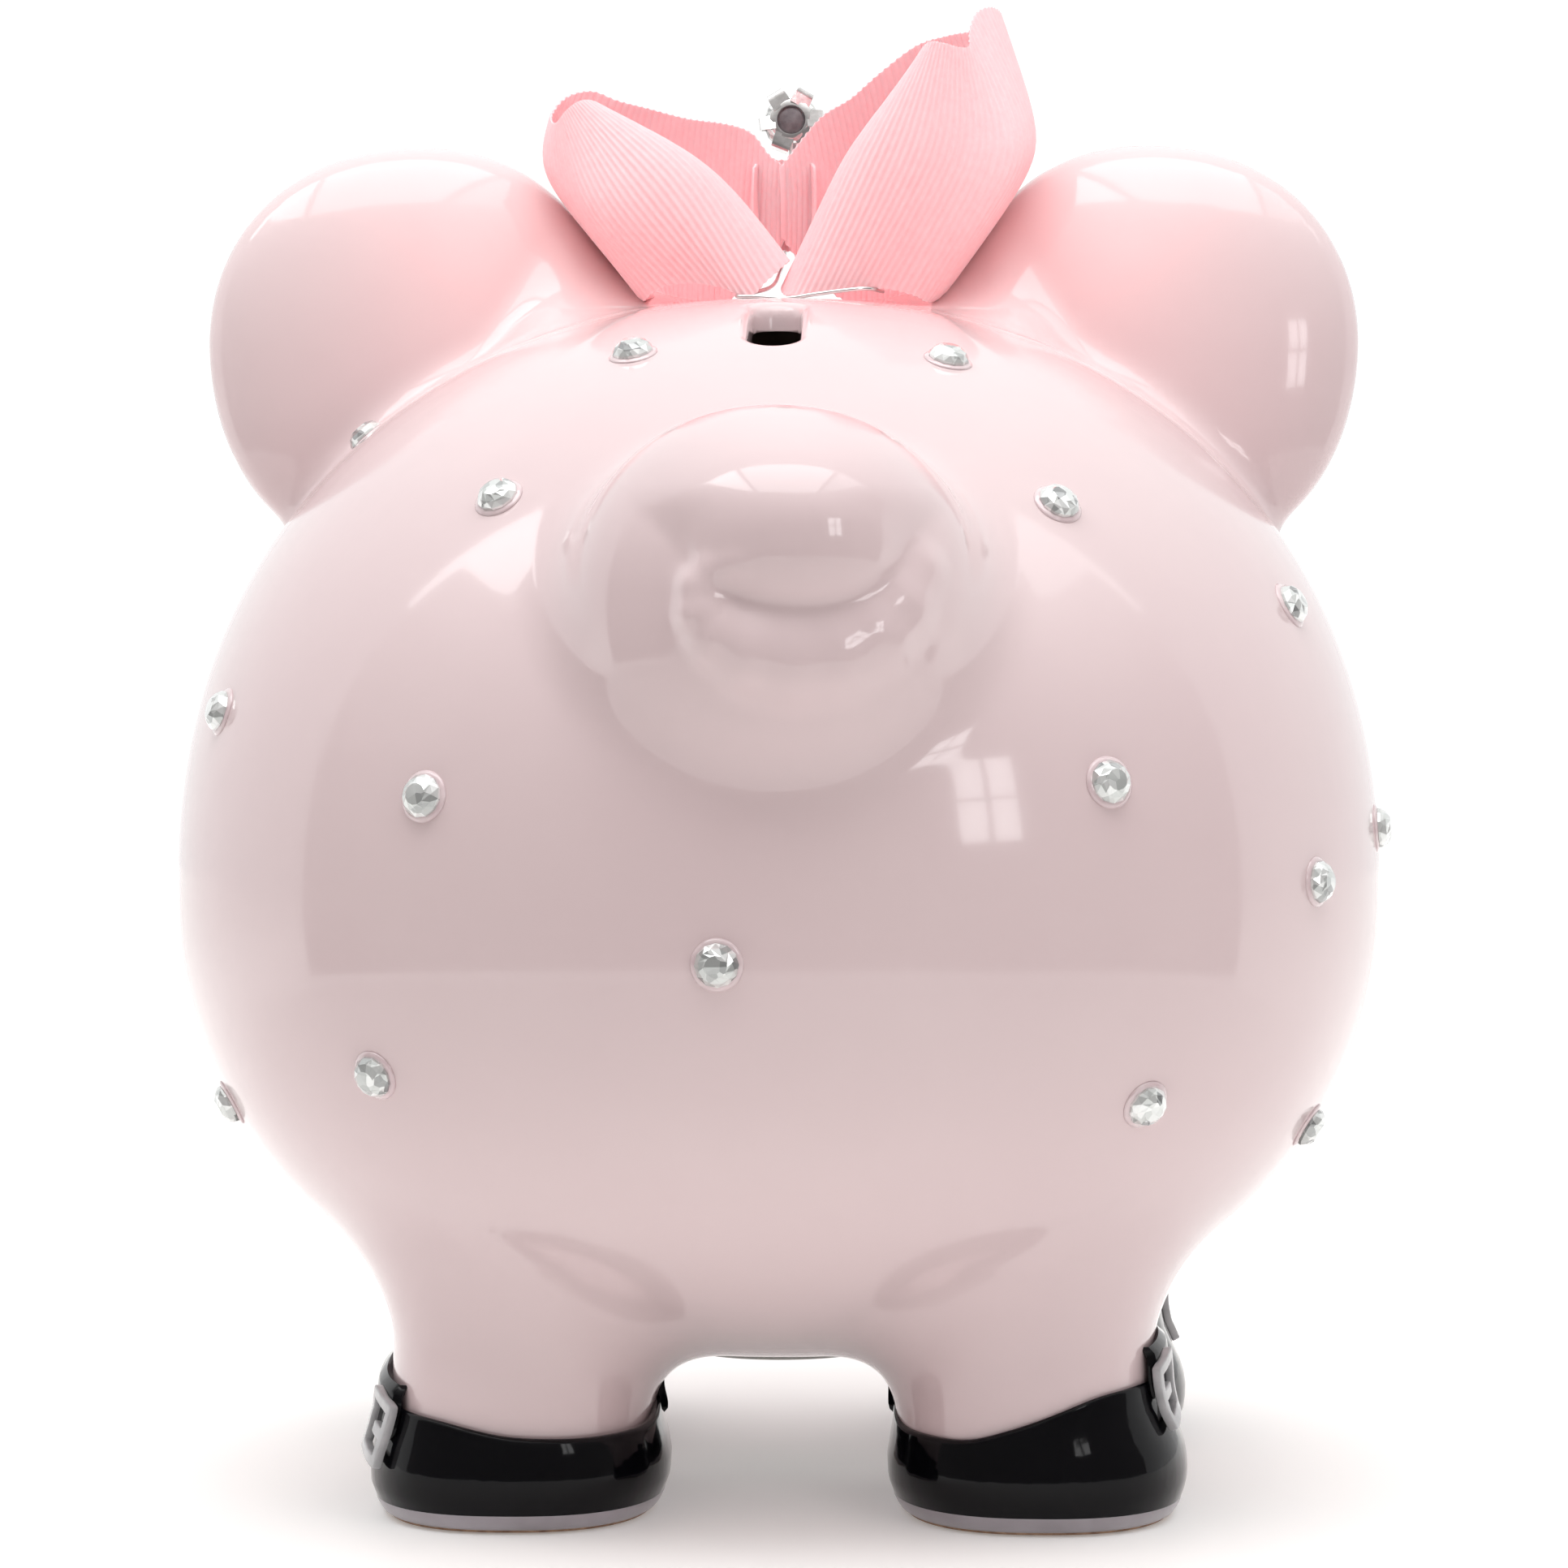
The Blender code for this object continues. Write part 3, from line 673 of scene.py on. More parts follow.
def ring_piece(name, foot, rows, sides=144):
    """A closed band round a foot.

    rows(angle) gives its section as (heights, lifts), from the outside bottom, up, over and back down inside.
    """
    deselect()
    count = len(rows(np.array([0.0]))[0])
    bpy.ops.mesh.primitive_torus_add(major_segments=sides, minor_segments=count, major_radius=1.0,
                                     minor_radius=0.25)
    obj = bpy.context.object
    obj.name = name
    p = points_of(obj)
    around = np.degrees(np.arctan2(p[:, 1], p[:, 0]))
    minor = np.arctan2(p[:, 2], np.hypot(p[:, 0], p[:, 1]) - 1.0)
    step = np.rint(minor / (2 * math.pi) * count).astype(int) % count
    heights, lifts = rows(around)
    heights, lifts = np.array(heights), np.array(lifts)
    pick = np.arange(len(p))
    z = np.broadcast_to(heights, (count, len(p)))[step, pick] if heights.ndim == 2 else heights[step]
    lift = lifts[step] if lifts.ndim == 1 else lifts[step, pick]
    move_points(obj, foot_points(foot, around, z, lift))
    edit_all(obj, bpy.ops.mesh.normals_make_consistent, inside=False)
    return obj


def make_shoe(foot):
    name = foot.name

    def upper(angle):
        top = shoe_edge(foot, angle)
        low = 0.0025
        heights, lifts = [], []
        for t in np.linspace(0, 1, 12):
            h = low + (top - 0.0005 - low) * t
            heights.append(h)
            lifts.append(np.interp(h, *SHOE_SWELL))
        edge = np.interp(top, *SHOE_SWELL)
        for dz, share in ((-0.0001, 0.97), (0.0001, 0.72), (0.0001, 0.45), (-0.0002, 0.15)):
            heights.append(top + dz)
            lifts.append(edge * share)
        heights.append(top - 0.0012)
        lifts.append(np.full_like(top, -0.0008))
        heights.append(np.full_like(top, low))
        lifts.append(np.full_like(top, -0.0008))
        return np.array(heights), np.array(lifts)

    shoe = ring_piece("shoe_" + name, foot, upper)
    smooth(shoe, 60)
    wear(shoe, SHOE_BLACK)

    def welt(angle):
        rows = ((0.0005, 0.0006), (0.0009, 0.0013), (0.0016, 0.0018), (0.0024, 0.0022), (0.0032, 0.0024),
                (0.0036, 0.0022), (0.0038, 0.0014), (0.0039, -0.0004), (0.0020, -0.0190), (0.0005, -0.0190))
        return np.array([r[0] for r in rows]), np.array([r[1] for r in rows])

    sole = ring_piece("sole_" + name, foot, welt)
    smooth(sole, 50)
    wear(sole, SOLE_GREY)
    clay = turned("foot_rim_" + name, ((0, 0.0), (0.5, 0.0), (0.93, 0.0), (0.98, 0.0002), (1.0, 0.0006),
                                       (0.9, 0.0009), (0, 0.0009)), 96)
    p = points_of(clay)
    r = np.hypot(p[:, 0], p[:, 1])
    angle = np.degrees(np.arctan2(p[:, 1], p[:, 0] * math.copysign(1, foot.x)))
    full = foot_points(foot, angle, np.zeros(len(p)), 0.0008)
    centre = np.array((foot.x, foot.y, 0.0))
    q = centre + (full - centre) * r[:, None]
    q[:, 2] = p[:, 2]
    move_points(clay, q)
    smooth(clay, 50)
    wear(clay, RAW_CLAY)
    strap = make_strap(foot)
    buckle = make_buckle(foot)
    for piece in (shoe, sole, clay, strap, buckle):
        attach(piece, BANK)


STRAP_PAST, STRAP_TO = 10.0, 168.0  # degrees: past the buckle, and round to the foot's inner side


def strap_height(foot, angle):
    """Middle height of the strap, from its end by the buckle, over the instep, to the inner side."""
    end, buckle = foot.bearing + STRAP_PAST, foot.buckle
    return np.interp(angle, (-170, -135, -100, end - 34, end),
                     (0.0165, 0.0195, 0.0222, buckle + 0.0034, buckle + 0.0022))


def grid_piece(name, columns, rows):
    deselect()
    bpy.ops.mesh.primitive_grid_add(x_subdivisions=columns, y_subdivisions=rows, size=2.0, location=(0, 0, 0))
    obj = bpy.context.object
    obj.name = name
    return obj, points_of(obj)


def thicken(obj, amount, offset=-1.0):
    step = obj.modifiers.new("thickness", 'SOLIDIFY')
    step.thickness, step.offset = amount, offset
    apply_modifiers(obj)


def face_out(obj, centre):
    """Turns an open sheet's faces away from a centre."""
    mesh = obj.data
    way = sum((Vector(f.center) - Vector(centre)).dot(f.normal) * f.area for f in mesh.polygons)
    if way < 0:
        edit_all(obj, bpy.ops.mesh.flip_normals)


def make_strap(foot):
    strap, p = grid_piece("strap_" + foot.name, 96, 9)
    end = foot.bearing + STRAP_PAST
    angle = end - (p[:, 0] + 1) / 2 * (STRAP_TO + end)
    across = p[:, 1]
    z = strap_height(foot, angle) + across * 0.0040
    body = np.interp(z, *SHOE_SWELL)
    lift = body + 0.0011 - 0.0013 * np.abs(across) ** 6
    ends = np.minimum(1, np.minimum(end - angle, angle + STRAP_TO) / 3.0)
    lift -= 0.0012 * (1 - ends) ** 2
    move_points(strap, foot_points(foot, angle, z, lift))
    face_out(strap, (foot.x, foot.y, 0.02))
    thicken(strap, 0.0014)
    smooth(strap, 40)
    wear(strap, SHOE_BLACK)
    return strap


def make_buckle(foot):
    """A square buckle with a centre bar, moulded on the outer side and painted grey."""
    buckle, _ = grid_piece("buckle_" + foot.name, 22, 22)
    half = 0.0050
    s, t = np.array([face.center[:2] for face in buckle.data.polygons]).T
    frame_or_bar = (np.maximum(np.abs(s), np.abs(t)) > 0.68) | ((np.abs(t) < 0.19) & (s > -0.05))
    select_faces(buckle, ~frame_or_bar)
    bpy.ops.mesh.delete(type='FACE')
    bpy.ops.object.mode_set(mode='OBJECT')
    p = points_of(buckle)
    tilt = math.radians(14)
    corner = 1 - 0.06 * (np.abs(p[:, 0]) * np.abs(p[:, 1])) ** 4
    s = (p[:, 0] * math.cos(tilt) + p[:, 1] * math.sin(tilt)) * half * 0.92 * corner
    t = (p[:, 1] * math.cos(tilt) - p[:, 0] * math.sin(tilt)) * half * corner
    angle = foot.bearing + np.degrees(s / 0.0285)
    z = foot.buckle + t
    lift = np.interp(z, *SHOE_SWELL) + 0.0021
    move_points(buckle, foot_points(foot, angle, z, lift))
    face_out(buckle, (foot.x, foot.y, 0.015))
    thicken(buckle, 0.0014)
    step = buckle.modifiers.new("worn edges", 'BEVEL')
    step.width, step.segments, step.limit_method, step.angle_limit = 0.00025, 2, 'ANGLE', math.radians(50)
    apply_modifiers(buckle)
    smooth(buckle, 45)
    wear(buckle, BUCKLE_GREY)
    return buckle


# ---------------------------------------------------------------- stones
STONES = (
    (22, 175), (-27, 174), (83, 165), (28, 152), (-30, 151), (-60, 137), (60, 121), (28.5, 109),
    (-29, 111), (-76, 103), (-54, 96), (3.5, 86), (35, 69), (-34.5, 65), (68, 61), (-67, 58),
    (101, 134), (94, 88), (-107, 126), (-106, 74), (116, 112), (-117, 104), (112, 62), (-113, 58),
    (140, 78), (-141, 82), (138, 54), (-138, 48), (163, 60), (-166, 58), (152, 160), (-152, 162),
    (180, 42),
)


def make_stones():
    """One stone is cut, with its foil and its ring of glue, and copied to each place."""
    r = 0.00315
    cut = turned("stone_pattern", ((0, 0.00015), (r * 0.90, 0.00015), (r, 0.00045), (r * 0.99, 0.0008),
                                   (r * 0.80, 0.00165), (r * 0.50, 0.00225), (0, 0.0024)), 12,
                 (0, 0, 0, 0, 1, 0, 0))
    wear(cut, CRYSTAL_PAINTED_GLINTS)
    glue = turned("glue_pattern", ((0, -0.0002), (r * 1.16, -0.0002), (r * 1.20, 0.0000), (r * 1.10, 0.00022),
                                   (r * 0.98, 0.0004), (0, 0.00035)), 36)
    smooth(glue)
    wear(glue, GLUE)
    for number, (bearing, height) in enumerate(STONES, 1):
        at, normal = at_bearing(bearing, height)
        for pattern, kind in ((cut, "stone"), (glue, "glue")):
            piece = pattern.copy()
            piece.data = pattern.data.copy()
            piece.name = "%s_%02d" % (kind, number)
            bpy.context.collection.objects.link(piece)
            place(piece, at, normal, turn=0.7 * number)
            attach(piece, BANK)
            if kind == "stone":
                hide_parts("rhinestone_%02d" % number)
    for pattern in (cut, glue):
        bpy.data.objects.remove(pattern, do_unlink=True)


# ---------------------------------------------------------------- face and stopper
def make_face():
    for side, word in ((1, "left"), (-1, "right")):
        at, normal = on_glaze((side * 0.0300, -0.0900, 0.1370))
        eye = turned("eye_" + word, ((0, -0.001), (0.0042, -0.001), (0.0044, 0.0000), (0.0042, 0.0005),
                                     (0.0034, 0.0010), (0.0018, 0.0013), (0, 0.0014)), 48)
        place(eye, at, normal, tall=1.32)
        smooth(eye)
        wear(eye, SHOE_BLACK)
        spark = turned("eye_light_" + word, ((0, -0.0004), (0.0009, -0.0004), (0.0010, 0.0000),
                                             (0.0007, 0.0003), (0, 0.0004)), 24)
        place(spark, np.array(at) + np.array(normal) * 0.0011 + np.array((-0.0012, 0, 0.0022)), normal)
        smooth(spark)
        wear(spark, WHITE_PAINT)
        for piece in (eye, spark):
            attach(piece, BANK)


def make_stopper():
    low = SEAT_Z - 0.0003 - 0.0016
    neck = HOLE_R - 0.0003
    profile = ((0, low + 0.0007), (0.0052, low + 0.0007), (0.0058, low + 0.0002), (0.0066, low),
               (0.0158, low), (0.0166, low + 0.0003), (0.0170, low + 0.0008), (0.0170, low + 0.0012),
               (0.0167, low + 0.0016), (neck + 0.0004, low + 0.0016), (neck, low + 0.0020),
               (neck, 0.0240), (neck - 0.0006, 0.0254), (neck - 0.0018, 0.0260),
               (0.0110, 0.0258), (0.0104, 0.0232), (0, 0.0230))
    plug = turned("rubber_plug", profile, 96)
    smooth(plug, 45)
    wear(plug, CLEAR_RUBBER)
    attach(plug, STOPPER)
    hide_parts("coin_stopper")


# ---------------------------------------------------------------- bow
def spline(knots, t):
    """A smooth curve through knots, t from 0 to 1 by the number of knots."""
    k = np.array(knots, float) / 1000.0
    k = np.vstack([2 * k[0] - k[1], k, 2 * k[-1] - k[-2]])
    x = np.clip(t, 0, 1) * (len(knots) - 1)
    i = np.minimum(x.astype(int), len(knots) - 2)
    f = (x - i)[:, None]
    p0, p1, p2, p3 = k[i], k[i + 1], k[i + 2], k[i + 3]
    return 0.5 * (2 * p1 + (p2 - p0) * f + (2 * p0 - 5 * p1 + 4 * p2 - p3) * f ** 2
                  + (3 * p1 - p0 - 3 * p2 + p3) * f ** 3)


# Each lobe runs from the pinch at the front, out, round its end, and back along the rear, in mm:
# (a point on its top edge, the point where it bends, the point on its bottom edge)
LEFT_LOBE = (
    ((-0.8, -26.8, 211.4), (-0.6, -27.0, 205.5), (-0.4, -27.0, 200.0)),
    ((2.4, -28.0, 213.8), (3.0, -28.5, 205.0), (3.4, -28.5, 195.0)),
    ((5.5, -28.5, 217.6), (6.5, -30.0, 205.0), (7.5, -29.5, 191.0)),
    ((9.8, -29.0, 219.2), (11.0, -31.0, 205.0), (12.0, -29.5, 188.8)),
    ((16.3, -29.5, 220.2), (18.0, -31.5, 205.5), (17.5, -28.0, 187.8)),
    ((23.0, -29.0, 221.9), (26.0, -31.0, 206.0), (20.5, -25.5, 187.6)),
    ((27.8, -28.0, 223.0), (31.5, -29.0, 206.5), (22.0, -23.0, 187.8)),
    ((32.2, -26.8, 224.4), (35.0, -26.0, 207.0), (22.0, -20.5, 187.5)),
    ((36.2, -23.6, 223.0), (37.5, -22.0, 207.8), (21.5, -18.0, 187.5)),
    ((38.2, -19.2, 219.8), (38.2, -18.0, 208.0), (21.5, -15.5, 187.5)),
    ((37.8, -14.8, 217.6), (36.8, -14.0, 206.5), (21.8, -12.5, 187.4)),
    ((36.7, -11.0, 217.0), (33.4, -9.5, 203.5), (22.0, -8.5, 187.9)),
    ((36.0, -8.6, 217.4), (30.5, -5.5, 202.5), (19.5, -6.0, 189.6)),
    ((34.9, -7.2, 218.4), (26.5, -3.6, 203.0), (15.2, -5.0, 190.2)),
    ((33.6, -6.6, 219.4), (22.0, -3.4, 204.5), (10.0, -4.8, 189.6)),
    ((32.0, -6.8, 220.1), (18.0, -4.4, 207.0), (5.2, -5.0, 188.0)),
    ((30.2, -7.8, 220.0), (14.8, -6.8, 209.4), (2.4, -6.2, 190.6)),
    ((28.4, -9.8, 218.8), (12.2, -10.5, 209.8), (-0.9, -8.5, 193.8)),
    ((26.6, -12.4, 216.4), (10.0, -14.5, 207.5), (-1.0, -11.5, 194.4)),
    ((24.6, -15.0, 213.6), (8.4, -18.0, 204.0), (0.4, -15.0, 193.5)),
)
RIGHT_LOBE = (
    ((0.8, -26.2, 211.4), (0.6, -26.2, 206.8), (0.4, -26.4, 200.0)),
    ((-3.0, -28.5, 216.7), (-4.0, -29.0, 209.4), (-4.0, -28.5, 194.5)),
    ((-6.5, -29.5, 220.7), (-8.5, -31.0, 210.6), (-8.5, -30.0, 190.6)),
    ((-11.0, -30.5, 223.6), (-13.2, -32.5, 211.5), (-13.5, -31.0, 188.6)),
    ((-16.0, -31.0, 228.0), (-18.8, -33.0, 213.5), (-18.5, -30.5, 187.8)),
    ((-22.0, -31.0, 232.4), (-25.0, -32.5, 215.0), (-22.0, -28.5, 187.6)),
    ((-27.5, -29.0, 233.8), (-31.5, -30.0, 215.0), (-24.0, -25.5, 187.2)),
    ((-31.4, -27.0, 234.2), (-36.0, -26.5, 214.5), (-24.6, -22.5, 187.0)),
    ((-34.6, -23.0, 234.8), (-39.5, -22.0, 214.3), (-24.8, -19.5, 186.8)),
    ((-35.8, -18.5, 235.6), (-41.2, -17.5, 213.8), (-24.8, -16.5, 186.8)),
    ((-34.2, -14.0, 236.0), (-41.2, -12.5, 213.4), (-24.6, -13.0, 186.9)),
    ((-31.8, -10.5, 234.6), (-40.2, -8.6, 212.8), (-24.2, -9.8, 187.0)),
    ((-30.6, -7.5, 231.4), (-37.8, -5.4, 211.8), (-23.6, -7.2, 187.2)),
    ((-30.4, -5.2, 228.4), (-33.6, -3.6, 211.4), (-21.5, -5.4, 188.2)),
    ((-28.8, -4.2, 228.0), (-28.8, -2.8, 211.6), (-17.0, -4.4, 189.2)),
    ((-26.6, -4.0, 228.6), (-23.8, -2.6, 212.0), (-12.0, -4.0, 189.2)),
    ((-24.6, -4.4, 229.0), (-19.0, -3.2, 212.4), (-7.6, -4.2, 188.6)),
    ((-23.3, -5.6, 228.7), (-15.0, -4.4, 212.6), (-3.6, -4.8, 187.9)),
    ((-22.3, -7.4, 227.4), (-12.2, -6.6, 212.4), (-1.1, -6.0, 188.2)),
    ((-21.3, -9.8, 225.4), (-10.8, -10.0, 212.0), (-0.1, -8.2, 189.4)),
    ((-20.2, -12.8, 223.0), (-10.6, -14.0, 210.6), (-0.1, -11.4, 190.8)),
    ((-18.8, -16.0, 220.0), (-10.6, -18.0, 208.0), (-0.8, -15.0, 191.6)),
)
# A short piece of the same ribbon, folded round the front of the pinch
PINCH_BAND = (
    ((5.2, -26.4, 211.6), (5.4, -26.2, 205.6), (5.0, -26.0, 199.6)),
    ((4.4, -29.4, 212.8), (4.4, -29.8, 205.6), (4.2, -29.2, 198.6)),
    ((1.8, -31.2, 213.4), (1.8, -31.8, 205.6), (1.8, -31.0, 198.2)),
    ((-1.8, -31.2, 213.4), (-1.8, -31.8, 205.6), (-1.8, -31.0, 198.2)),
    ((-4.4, -29.4, 212.8), (-4.4, -29.8, 205.6), (-4.2, -29.2, 198.6)),
    ((-5.2, -26.4, 211.6), (-5.4, -26.2, 205.6), (-5.0, -26.0, 199.6)),
)
RIB = 0.00100                     # spacing of the ribbon's ribs
RIB_RISE = 0.00010
CLOTH = 0.00035                   # thickness


def make_ribbon(name, stations, middle, bend_at=0.5, softness=0.2, rows=30):
    """A ribbon through its stations, ribbed across its width, bent part of the way up and laid on glaze."""
    last = len(stations) - 1
    top, half, bottom = ([station[k] for station in stations] for k in range(3))
    fine = np.linspace(0, 1, 600)
    path = (spline(top, fine) + 2 * spline(half, fine) + spline(bottom, fine)) / 4
    run = np.concatenate([[0], np.cumsum(np.linalg.norm(np.diff(path, axis=0), axis=1))])
    length = float(run[-1])
    obj, p = grid_piece(name, int(round(length / RIB)) * 5, rows)
    u, v = (p[:, 0] + 1) / 2, (p[:, 1] + 1) / 2

    def surface(along, v):
        t = np.interp(along * length, run, fine)
        a, m, b = spline(bottom, t), spline(half, t), spline(top, t)
        x = v - bend_at
        reach = np.where(x < 0, bend_at, 1 - bend_at)
        sharp = np.sqrt(reach ** 2 + softness ** 2) - softness
        bend = (np.sqrt(x * x + softness ** 2) - softness) * reach / sharp
        below, above = (m - a) / bend_at, (b - m) / (1 - bend_at)
        return m + (below + above) / 2 * x[:, None] + (above - below) / 2 * bend[:, None]

    q = surface(u, v)
    ahead = surface(np.minimum(u + 0.004, 1), v) - surface(np.maximum(u - 0.004, 0), v)
    upward = surface(u, np.minimum(v + 0.02, 1)) - surface(u, np.maximum(v - 0.02, 0))
    upward /= np.maximum(np.linalg.norm(upward, axis=1), 1e-9)[:, None]
    out = np.cross(ahead, upward)
    out /= np.maximum(np.linalg.norm(out, axis=1), 1e-9)[:, None]
    centre, nudge = np.array([0.5]), 0.5 / last
    flat_out = np.cross(spline(half, centre + nudge) - spline(half, centre - nudge),
                        spline(top, centre) - spline(bottom, centre))[0]
    if (flat_out * (spline(half, centre)[0] - np.array(middle))).sum() < 0:
        out = -out
    phase = 2 * math.pi * u * length / RIB
    spread = np.clip(np.linalg.norm(ahead, axis=1) / (0.008 * length), 0.0, 1.0)
    q += out * (RIB_RISE * spread * np.cos(phase) + 0.0004 * np.sin(u * 23.0 + 0.6) * (1 - v) ** 4)[:, None]
    edge = 2 * v - 1
    q += upward * (np.sign(edge) * (np.abs(edge) > 0.99) * 0.0001 * spread * np.cos(phase))[:, None]

    def outside(p):
        return casting_shape(p, hollow=False)

    gap = outside(q)
    close = gap < 0.0006
    if close.any():
        g = slopes(outside, q[close])
        q[close] += g * (0.0006 - gap[close])[:, None]
    move_points(obj, q)
    face_out(obj, middle)
    thicken(obj, CLOTH)
    smooth(obj, 70)
    wear(obj, RIBBON)
    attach(obj, BANK)
    return obj, length


def make_bow():
    left, long_left = make_ribbon("ribbon_left", LEFT_LOBE, (0.018, -0.017, 0.205))
    right, long_right = make_ribbon("ribbon_right", RIGHT_LOBE, (-0.020, -0.017, 0.208), 0.62, 0.12)
    band, long_band = make_ribbon("ribbon_band", PINCH_BAND, (0.0, -0.026, 0.2055), rows=12)
    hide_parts("bow_loop_left")
    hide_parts("bow_loop_right")
    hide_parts("bow_front_band")


def tube_along(name, knots, radius, count):
    curve = bpy.data.curves.new(name, 'CURVE')
    curve.dimensions, curve.bevel_depth, curve.bevel_resolution, curve.use_fill_caps = '3D', radius, 3, True
    path = curve.splines.new('POLY')
    dots = spline(knots, np.linspace(0, 1, count))
    path.points.add(count - 1)
    for point, at in zip(path.points, dots):
        point.co = (*at, 1.0)
    obj = bpy.data.objects.new(name, curve)
    bpy.context.collection.objects.link(obj)
    only(obj)
    bpy.ops.object.convert(target='MESH')
    obj = bpy.context.object
    smooth(obj)
    return obj


def make_jewel():
    low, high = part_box("gem_setting")
    cx, cz, back = (low[0] + high[0]) / 2, (low[2] + high[2]) / 2, high[1]
    gem = turned("jewel", ((0, 0), (0.0016, 0.0002), (0.0044, 0.0024), (0.0047, 0.0029), (0.0038, 0.0042),
                           (0.0024, 0.0050), (0, 0.0051)), 16, (0, 0, 1, 1, 0, 1, 1))
    place(gem, (cx, back - 0.0010, cz), (0, -1, 0))
    wear(gem, CRYSTAL_PAINTED_GLINTS)
    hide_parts("bow_gem")
    cup = turned("setting_cup", ((0, 0.0010), (0.0021, 0.0010), (0.0022, 0.0004), (0.0024, 0.0000),
                                 (0.0031, 0.0000), (0.0036, 0.0003), (0.0038, 0.0012), (0.0038, 0.0016),
                                 (0.0034, 0.0016), (0.0030, 0.0012), (0, 0.0013)), 48)
    place(cup, (cx, back, cz), (0, -1, 0))
    smooth(cup, 40)
    wear(cup, SILVER)
    recess = turned("setting_recess", ((0, 0.00045), (0.0019, 0.00045), (0.00215, 0.0006), (0.00215, 0.0009),
                                       (0, 0.0009)), 40)
    place(recess, (cx, back, cz), (0, -1, 0))
    smooth(recess, 40)
    wear(recess, DULL_METAL)
    prongs = []
    for number, (bearing, tilt, wide) in enumerate(((58, 0.10, 1.7), (118, 0.34, 1.6), (176, -0.15, 1.4),
                                                    (232, 0.28, 1.6), (292, -0.05, 1.7), (352, 0.45, 1.2))):
        prong, p = grid_piece("prong_%d" % number, 6, 12)
        w, t = p[:, 0], (p[:, 1] + 1) / 2
        reach = (0.0027 + 0.0026 * np.sin(np.minimum(t, 0.55) / 0.55 * math.pi / 2)
                 - 0.0008 * ease(t, 0.75, 1.0))
        rise = 0.0002 + 0.0044 * np.maximum(0, t - 0.38) ** 1.2 / 0.60
        side = w * (wide / 1000 * (1 - 0.28 * t))
        rise = rise + side * tilt
        turn = math.radians(bearing)
        q = np.stack([reach * math.cos(turn) - side * math.sin(turn),
                      reach * math.sin(turn) + side * math.cos(turn), rise], 1)
        move_points(prong, q)
        thicken(prong, 0.00035, 0.0)
        smooth(prong, 35)
        place(prong, (cx, back, cz), (0, -1, 0))
        wear(prong, SILVER)
        prongs.append(prong)
    deselect()
    for obj in prongs + [cup]:
        obj.select_set(True)
    bpy.context.view_layer.objects.active = cup
    bpy.ops.object.join()
    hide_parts("gem_setting")
    y, x, z = back * 1000, cx * 1000, cz * 1000
    stem = tube_along("tie_wire_stem", ((x, y - 1.0, z - 2.0), (x, y - 0.6, z - 5.0),
                                        (x + 0.4, y - 0.2, z - 8.5), (0.2, -32.6, 208.0),
                                        (0.0, -32.5, 203.0), (0.0, -32.0, 198.4), (0.2, -29.5, 196.4)),
                      0.00034, 90)
    tail = tube_along("tie_wire_tail", ((0.2, -29.5, 196.4), (0.6, -24.0, 194.0), (2.0, -14.0, 190.4),
                                        (7.0, -4.6, 188.2), (4.0, -3.1, 187.9), (-1.0, -2.7, 187.6),
                                        (-5.5, -2.5, 188.2), (-10.0, -2.6, 188.8), (-14.0, -3.4, 189.2),
                                        (-16.5, -6.5, 189.0)),
                      0.00034, 160)
    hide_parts("bow_tie_wire")
    for wire in (stem, tail):
        wear(wire, SILVER)
    for piece in (gem, cup, recess, stem, tail):
        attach(piece, BANK)


# ---------------------------------------------------------------- more materials
def shoe_black():
    material, tree, shader = new_material("black gloss glaze")
    bumped(tree, shader, fine_noise(tree, 220.0, 2.0), 0.12, 0.0005)
    shader.inputs["Base Color"].default_value = (0.002, 0.002, 0.003, 1)
    shader.inputs["Roughness"].default_value = 0.08
    shader.inputs["Specular IOR Level"].default_value = 0.18
    return material


def mottled(name, dark, light, scale, roughness, bump_by=0.1, metallic=0.0, coat=0.0):
    material, tree, shader = new_material(name)
    bumped(tree, shader, clouded(tree, shader, scale, 4.0, dark, light, (0.35, 0.65)), bump_by, 0.0004)
    shader.inputs["Roughness"].default_value = roughness
    shader.inputs["Metallic"].default_value = metallic
    shader.inputs["Coat Weight"].default_value = coat
    return material


def crystal():
    """Clear facets over silver foil, with painted reflections: random patches of the colour, dark to pale
    grey, stand in for the different greys the facets throw back.
    """
    material, tree, shader = new_material("foiled crystal painted glints")
    where = tree.nodes.new("ShaderNodeTexCoord")
    # painted reflection: these patches of grey in the base colour stand in for the facets' glints
    painted_glint_patches = node(tree, "ShaderNodeTexVoronoi", Scale=620.0)
    tint = tree.nodes.new("ShaderNodeValToRGB")
    ramp = tint.color_ramp
    ramp.elements[0].position, ramp.elements[0].color = 0.0, (0.30, 0.31, 0.31, 1)
    ramp.elements[1].position, ramp.elements[1].color = 1.0, (0.93, 0.95, 0.94, 1)
    middle = ramp.elements.new(0.38)
    middle.color = (0.66, 0.69, 0.67, 1)
    split = tree.nodes.new("ShaderNodeSeparateColor")
    link = tree.links.new
    link(where.outputs["Object"], painted_glint_patches.inputs["Vector"])
    link(painted_glint_patches.outputs["Color"], split.inputs["Color"])
    link(split.outputs["Red"], tint.inputs["Fac"])
    link(tint.outputs["Color"], shader.inputs["Base Color"])
    shader.inputs["Metallic"].default_value = 0.5
    shader.inputs["Roughness"].default_value = 0.10
    shader.inputs["Coat Weight"].default_value = 1.0
    shader.inputs["Coat Roughness"].default_value = 0.01
    return material


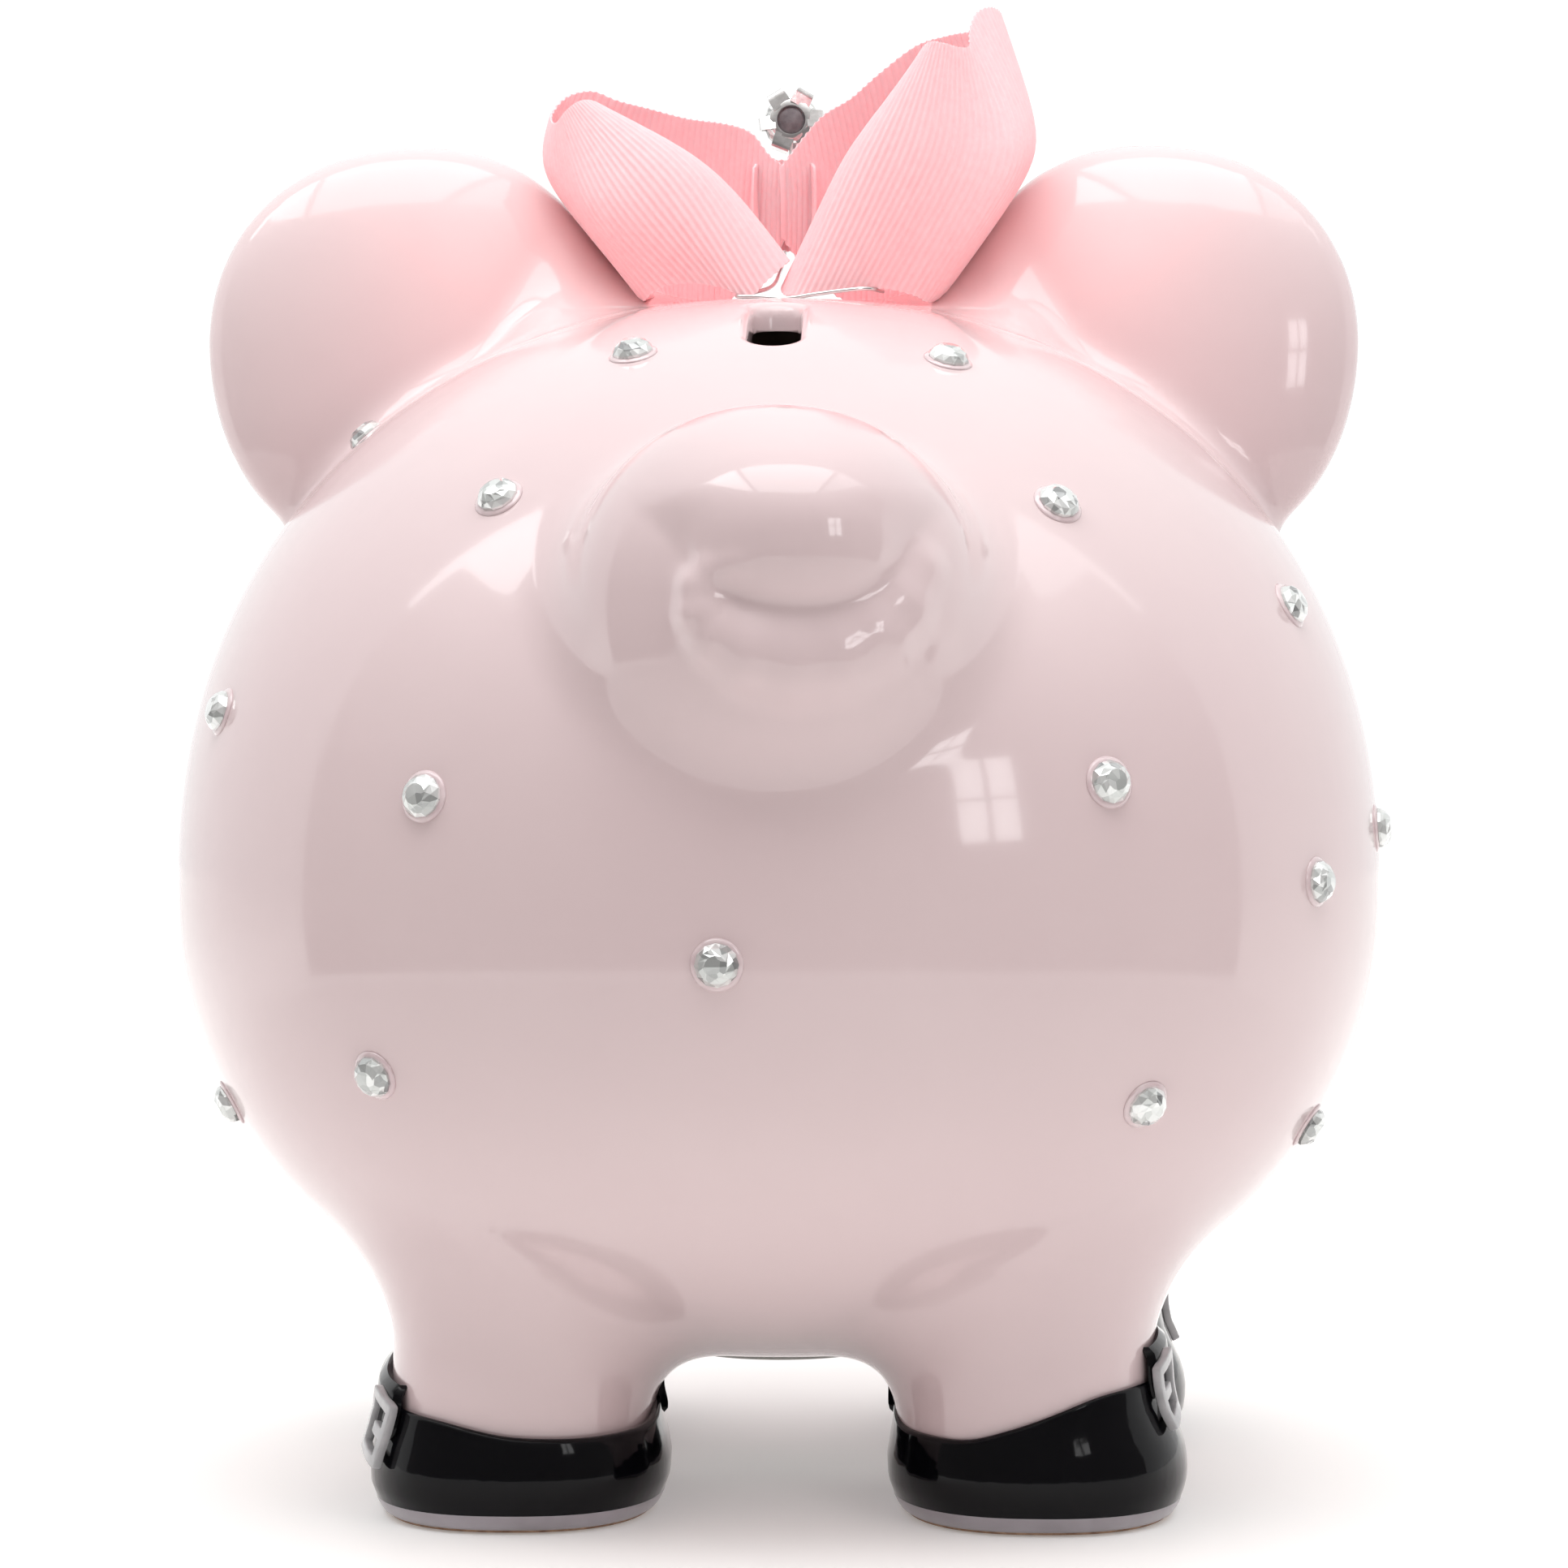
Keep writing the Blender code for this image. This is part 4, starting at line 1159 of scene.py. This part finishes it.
def ribbon_cloth():
    material, tree, shader = new_material("grosgrain ribbon")
    weave = clouded(tree, shader, 900.0, 3.0, (0.98, 0.55, 0.58), (1.0, 0.65, 0.67))
    bumped(tree, shader, weave, 0.25, 0.0002)
    shader.inputs["Roughness"].default_value = 0.48
    shader.inputs["Sheen Weight"].default_value = 0.25
    shader.inputs["Sheen Roughness"].default_value = 0.4
    shader.inputs["Sheen Tint"].default_value = (1.0, 0.80, 0.82, 1)
    shader.inputs["Subsurface Weight"].default_value = 0.55
    shader.inputs["Subsurface Radius"].default_value = (1.0, 0.45, 0.45)
    shader.inputs["Subsurface Scale"].default_value = 0.0012
    return material


SHOE_BLACK = shoe_black()
SOLE_GREY = mottled("sole grey glaze", (0.30, 0.27, 0.29), (0.38, 0.345, 0.375), 90.0, 0.28, 0.15, coat=0.2)
BUCKLE_GREY = mottled("buckle grey glaze", (0.40, 0.40, 0.41), (0.50, 0.50, 0.51), 300.0, 0.25, 0.2, coat=0.3)
RAW_CLAY = mottled("bare clay", (0.22, 0.12, 0.07), (0.42, 0.27, 0.18), 700.0, 0.85, 0.5)
WHITE_PAINT = mottled("white paint", (0.86, 0.86, 0.86), (0.92, 0.92, 0.92), 300.0, 0.2, 0.05)
CLEAR_RUBBER = mottled("clear rubber", (0.50, 0.50, 0.47), (0.60, 0.60, 0.56), 60.0, 0.38, 0.15)
DULL_METAL = mottled("dull metal", (0.16, 0.14, 0.15), (0.24, 0.22, 0.23), 700.0, 0.45, 0.3, metallic=0.6)
SILVER = mottled("silver plate", (0.62, 0.61, 0.60), (0.80, 0.79, 0.78), 500.0, 0.16, 0.1, metallic=1.0)
GLUE = mottled("clear glue", (0.72, 0.56, 0.58), (0.80, 0.66, 0.67), 400.0, 0.08, 0.1, coat=1.0)
CRYSTAL_PAINTED_GLINTS = crystal()
RIBBON = ribbon_cloth()

make_room()
make_camera()
casting = make_casting()
wear(casting, pink_glaze())
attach(casting, BANK)
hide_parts("ceramic_body")
for foot in FEET:
    make_shoe(foot)
make_stones()
make_face()
make_stopper()
make_bow()
make_jewel()
